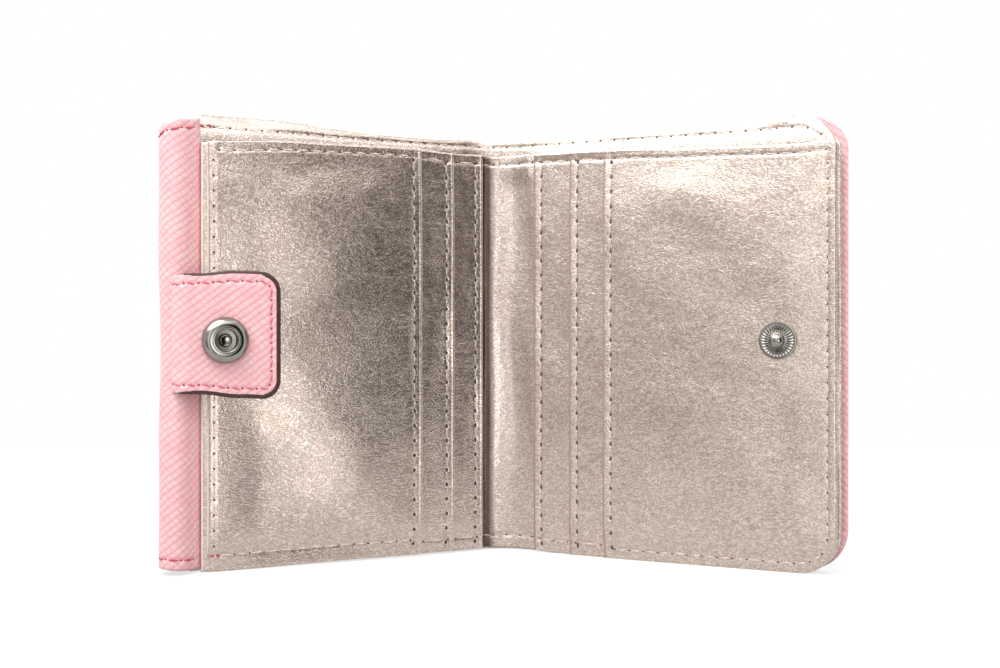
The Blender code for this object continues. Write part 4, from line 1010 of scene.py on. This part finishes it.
def pocket_sheet(name, node, s, z, m, thickness, corners, inset=None, step=0.6):
    """A flat layer on the back: with an inset, pink with a seam round it and a painted edge."""
    roll = thickness / 2
    sheet = Sheet(on_back, s, z, m, thickness, roll, "sezt", corners)
    seams = [sheet.seam(loop(s, z, inset))] if inset else []
    marks = [(low + inset, high - inset) if inset else () for low, high in (s, z)]
    u, v = (lines(*span, near, coarse=step, rolls=(roll, roll)) for span, near in zip((s, z), marks))
    sheet.build(name, u, v, (PINK, PAINT) if inset else (CHAMPAGNE,), riding("back_leaf"),
                "pink_leather" if inset else "champagne_leather", (node,), paint=PAINTED if inset else 0.0)
    for seam in seams:
        SEWING["coin_pocket"].sew(sheet, seam)


def coin_pocket():
    corners = dict.fromkeys(("sb", "eb", "st", "et"), BASE_CORNER)
    pocket_sheet("coin_base_leather", "coin_pocket_base", BASE_S, BASE_Z, BASE_M, POCKET_T, corners,
                 BASE_SEAM)
    coin_gusset()
    corners = {"sb": WALL_CORNER, "eb": WALL_CORNER}
    pocket_sheet("coin_wall_leather", "coin_pocket_wall", WALL_S, WALL_Z, WALL_M, POCKET_T, corners,
                 WALL_SEAM)
    pocket_sheet("coin_wall_inside", "coin_pocket_lining", WALL_S, WALL_Z, WALL_M - POCKET_LINING_DROP,
                 POCKET_LINING_T, corners, step=1.5)


def coin_gusset():
    """The pleated strip round the pocket, between the base and the wall."""
    (s0, s1), (z0, z1), radius = GUSSET_S, GUSSET_Z, GUSSET_CORNER
    path = [(s0, z) for z in np.linspace(z1, z0 + radius + 1, 40)]
    path += arc(s0 + radius, z0 + radius, radius, 180, 270, 12)
    path += [(s, z0) for s in np.linspace(s0 + radius + 1, s1 - radius - 1, 30)]
    path += arc(s1 - radius, z0 + radius, radius, -90, 0, 12)
    path += [(s1, z) for z in np.linspace(z0 + radius + 1, z1, 40)]
    path = np.array(path)
    tangent = unit(np.gradient(path, axis=0))
    inwards = np.stack([-tangent[:, 1], tangent[:, 0]], 1)
    share = np.linspace(0, 1, 15)
    pleat = GUSSET_PLEAT * np.sin(math.pi * share) ** 1.3 + 0.18 * np.sin(3 * math.pi * share)
    depth = np.concatenate([GUSSET_DEPTH * share, GUSSET_DEPTH * share[::-1]])
    pull = np.concatenate([pleat, pleat[::-1] + GUSSET_T])
    at = path[:, None, :] + inwards[:, None, :] * pull[None, :, None]
    points = on_back(at[..., 0], GUSSET_M + depth[None, :] + 0.0 * at[..., 0], at[..., 1])
    count, size = len(path), len(pull)
    faces = [(i + j, i + size + j, i + size + (j + 1) % size, i + (j + 1) % size)
             for i in range(0, (count - 1) * size, size) for j in range(size)]
    for end, order in ((0, 1), ((count - 1) * size, -1)):
        faces += [(end + j, end + j + 1, end + size - 2 - j, end + size - 1 - j)[::order]
                  for j in range(size // 2 - 1)]
    uv = np.stack([np.tile(depth, count), np.repeat(along_path(path), size)], 1) * MM
    piece = add_mesh("coin_gusset_leather", points.reshape(-1, 3), faces, (PINK,), riding("back_leaf"),
                     "pink_leather", ("coin_pocket_gusset",), uv)
    weld(piece)


def flap_line(knots=160, smoothing=15):
    """The flap's outer face from its sewn root over the mouth: distances, places and the way outwards."""
    marks = np.array(FLAP_MARKS)
    length = along_path(marks)
    at = np.linspace(0, length[-1], knots)
    m, z = (np.interp(at, length, row) for row in marks.T)
    kernel = np.hanning(smoothing) / np.hanning(smoothing).sum()
    ends = smoothing // 2
    m = np.convolve(np.pad(m, ends, mode="edge"), kernel, mode="valid")
    z[ends:-ends] = np.convolve(z, kernel, mode="valid")
    slope_m, slope_z = np.gradient(m), np.gradient(z)
    size = np.hypot(slope_m, slope_z)
    return at, m, z, -slope_z / size, slope_m / size


FLAP_AT, *FLAP_ROWS = flap_line()
FLAP_LENGTH = FLAP_AT[-1]


def flap_place(p, d, s):
    m, z, out_m, out_z = (np.interp(p, FLAP_AT, row) for row in FLAP_ROWS)
    return on_back(s, m + d * out_m, z + d * out_z)


def coin_flap():
    """The flap's two layers: one leather from its sewn root to its lower edge, and its lining."""
    def relief(p, s):
        return -0.10 * bell(np.hypot(p - (FLAP_LENGTH - COIN_SNAP_FROM_END), s - COIN_SNAP_S), 5.6, 1.5)

    roll, root = POCKET_T / 2, FLAP_ROOT_SEAM
    low, high, end = FLAP_S[0] + FLAP_SEAM, FLAP_S[1] - FLAP_SEAM, FLAP_LENGTH - FLAP_SEAM
    sheet = Sheet(flap_place, (0.0, FLAP_LENGTH), FLAP_S, 0.0, POCKET_T, roll, "sezt",
                  {"eb": FLAP_CORNER, "et": FLAP_CORNER}, relief=relief, edge_drop=0.06)
    seams = [sheet.seam([(1.4, low), (end, low), (end, high), (1.4, high)]),
             sheet.seam([(root, FLAP_S[0] + 1.8), (root, FLAP_S[1] - 1.8)])]
    u = lines(0.0, FLAP_LENGTH, (root, end), coarse=0.6, rolls=(roll, roll))
    v = lines(*FLAP_S, (low, high), coarse=0.6, rolls=(roll, roll))
    piece = sheet.build("coin_flap_leather", u, v, (PINK, PAINT), flap_bending, "pink_leather",
                        ("coin_flap_face", "coin_flap_root"), paint=PAINTED)
    turn_grain(piece)
    for seam in seams:
        SEWING["flap"].sew(sheet, seam)

    roll, inset, drop = POCKET_LINING_T / 2, FLAP_LINING_INSET, POCKET_LINING_DROP
    length, width = (FLAP_LINING_START, FLAP_LENGTH - inset), (FLAP_S[0] + inset, FLAP_S[1] - inset)
    inner = Sheet(lambda p, d, s: flap_place(p, d - drop, s), length, width, 0.0, POCKET_LINING_T, roll,
                  "sezt", {"eb": FLAP_LINING_CORNER, "et": FLAP_LINING_CORNER})
    u, v = (lines(*span, coarse=0.9, rolls=(roll, roll)) for span in (length, width))
    inner.build("coin_flap_inside", u, v, (CHAMPAGNE,), riding("coin_flap"), "champagne_leather",
                ("coin_flap_lining",))


def turn_grain(piece):
    """Turns the leather's coordinates a quarter, so that its grain runs as on the cover."""
    layer = piece.data.uv_layers["leather"]
    uv = np.zeros(len(layer.data) * 2, np.float32)
    layer.data.foreach_get("uv", uv)
    uv = uv.reshape(-1, 2)[:, ::-1] * np.array([1.0, -1.0], np.float32)
    layer.data.foreach_set("uv", np.ascontiguousarray(uv).ravel())


# The purse

def hidden_parts():
    """Gives the parts that the scene takes over from the frame as they are their finishes."""
    for nodes, look in ((("stiffener_back", "stiffener_front"), BOARD),
                        (("snap_stud_rivet", "coin_snap_rivet", "coin_snap_spring"), STEEL),
                        (("coin_snap_stud", "coin_snap_socket"), NICKEL)):
        for node in nodes:
            mesh = frame["nodes"][node].data
            mesh.materials.clear()
            mesh.materials.append(look)


def purse():
    cover_left()
    cover_right()
    leather_inside()
    closure_tab()
    coin_pocket()
    coin_flap()
    tab_snap()
    stud_snap()
    coin_snap()
    for stitching in SEWING.values():
        stitching.make()
    hidden_parts()


# Studio

# Name, azimuth from straight in front, elevation, distance, size and brightness of each soft lamp
LAMPS = (
    ("top_front", -24, 42, 0.85, (1.00, 0.34), 1.4),
    ("left", -40, 62, 0.85, (0.80, 0.50), 4.0),
)

# Where the world has a low soft light, which brings out the left pocket's slanting fold, and its warm tint
LOW_GLOW = (0.31, -0.94, -0.12)
WARM = (1.0, 0.72, 0.56)

# The camera stands level at half the purse's height, where the photo's perspective puts it
LENS, SENSOR = 41.0, 36.0
CAMERA = (-0.001107, -0.2541, 0.050)
FLOOR_REACH, FLOOR_NEAR = 0.24, -0.09


def studio_lamp(name, azimuth, elevation, away, size, radiance):
    turn, tilt = math.radians(azimuth), math.radians(elevation)
    aim = Vector((0, 0, CAMERA[2]))
    light = bpy.data.lights.new(name, "AREA")
    light.shape = "RECTANGLE"
    light.size, light.size_y = size
    light.energy = radiance * math.pi * size[0] * size[1]
    lamp = bpy.data.objects.new(name, light)
    bpy.context.scene.collection.objects.link(lamp)
    lamp.location = aim + away * Vector((math.sin(turn) * math.cos(tilt), -math.cos(turn) * math.cos(tilt),
                                         math.sin(tilt)))
    lamp.rotation_euler = (aim - lamp.location).to_track_quat("-Z", "Y").to_euler()


def studio_world():
    """White to the camera and behind the purse; in front a soft light that fades to the right and down."""
    world = bpy.data.worlds.new("studio_world")
    bpy.context.scene.world = world
    n = Nodes(world)
    seen, mirrored = n.seen_directly()
    way = n.new("ShaderNodeTexCoord").outputs["Generated"]
    across, depth, height = n.new("ShaderNodeSeparateXYZ", {0: way}).outputs

    def ramp(*values):
        return n.remap(*values, smooth=True)

    soft = n.math("MULTIPLY", ramp(across, 0.31, 0.62, 1.0, 0.0), ramp(height, -0.18, 0.24, 0.47, 0.86))
    top = n.math("MULTIPLY", ramp(across, 0.48, 0.78, 1.0, 0.0), ramp(height, 0.42, 0.62, 0.0, 1.8))
    band = n.math("MULTIPLY", ramp(across, -0.48, -0.32, 0.0, 0.85), ramp(across, -0.22, -0.02, 1.0, 0.0))
    nearness = n.new("ShaderNodeVectorMath", {0: way, 1: LOW_GLOW}, operation="DOT_PRODUCT").outputs["Value"]
    front = n.math("ADD", n.math("ADD", soft, ramp(nearness, 0.95, 0.998, 0.0, 2.85)),
                   n.math("ADD", n.math("ADD", top, band), 0.02))
    front = n.math("MULTIPLY", front, ramp(height, 0.80, 0.97, 1.0, 0.2))
    front = n.math("MAXIMUM", front, ramp(depth, -0.56, -0.34, 0.0, 1.0))
    in_metal = n.new("ShaderNodeMix", {0: mirrored, 2: 1.0, 3: front}).outputs[0]
    background = n.tree.nodes["Background"].inputs
    n.put(n.new("ShaderNodeMix", {0: seen, 2: 0.92, 3: in_metal}).outputs[0], background["Strength"])
    warm = n.math("MULTIPLY", mirrored, ramp(front, 0.1, 0.8, 1.0, 0.0))
    n.put(n.mix(warm, (1, 1, 1), WARM), background["Color"])


def studio_floor():
    """A pale floor that looks white itself and keeps the purse's shadow."""
    mesh = bpy.data.meshes.new("studio_floor")
    left, right = -FLOOR_REACH, FLOOR_REACH
    mesh.from_pydata([(left, FLOOR_NEAR, 0), (right, FLOOR_NEAR, 0), (right, FLOOR_REACH, 0),
                      (left, FLOOR_REACH, 0)], [], [(0, 1, 2, 3)])
    floor = bpy.data.objects.new("studio_floor", mesh)
    bpy.context.scene.collection.objects.link(floor)
    n = Nodes(bpy.data.materials.new("studio_floor_look"))
    seen, mirrored = n.seen_directly()
    glow = n.math("MULTIPLY", seen, n.math("MULTIPLY_ADD", mirrored, -0.22, 0.70))
    mesh.materials.append(n.look({"Base Color": (0.32, 0.32, 0.32, 1), "Roughness": 0.9,
                                  "Specular IOR Level": 0.1, "Emission Color": (1, 1, 1, 1),
                                  "Emission Strength": glow}))


def studio():
    scene = bpy.context.scene
    scene.view_settings.view_transform = "Standard"
    studio_world()
    studio_floor()
    for lamp in LAMPS:
        studio_lamp(*lamp)
    camera = bpy.data.objects.new("camera", bpy.data.cameras.new("camera"))
    scene.collection.objects.link(camera)
    camera.data.lens = LENS
    camera.data.sensor_width = SENSOR
    camera.data.clip_start = 0.01
    camera.location = CAMERA
    camera.rotation_euler = (math.pi / 2, 0, 0)
    scene.camera = camera


purse()
studio()
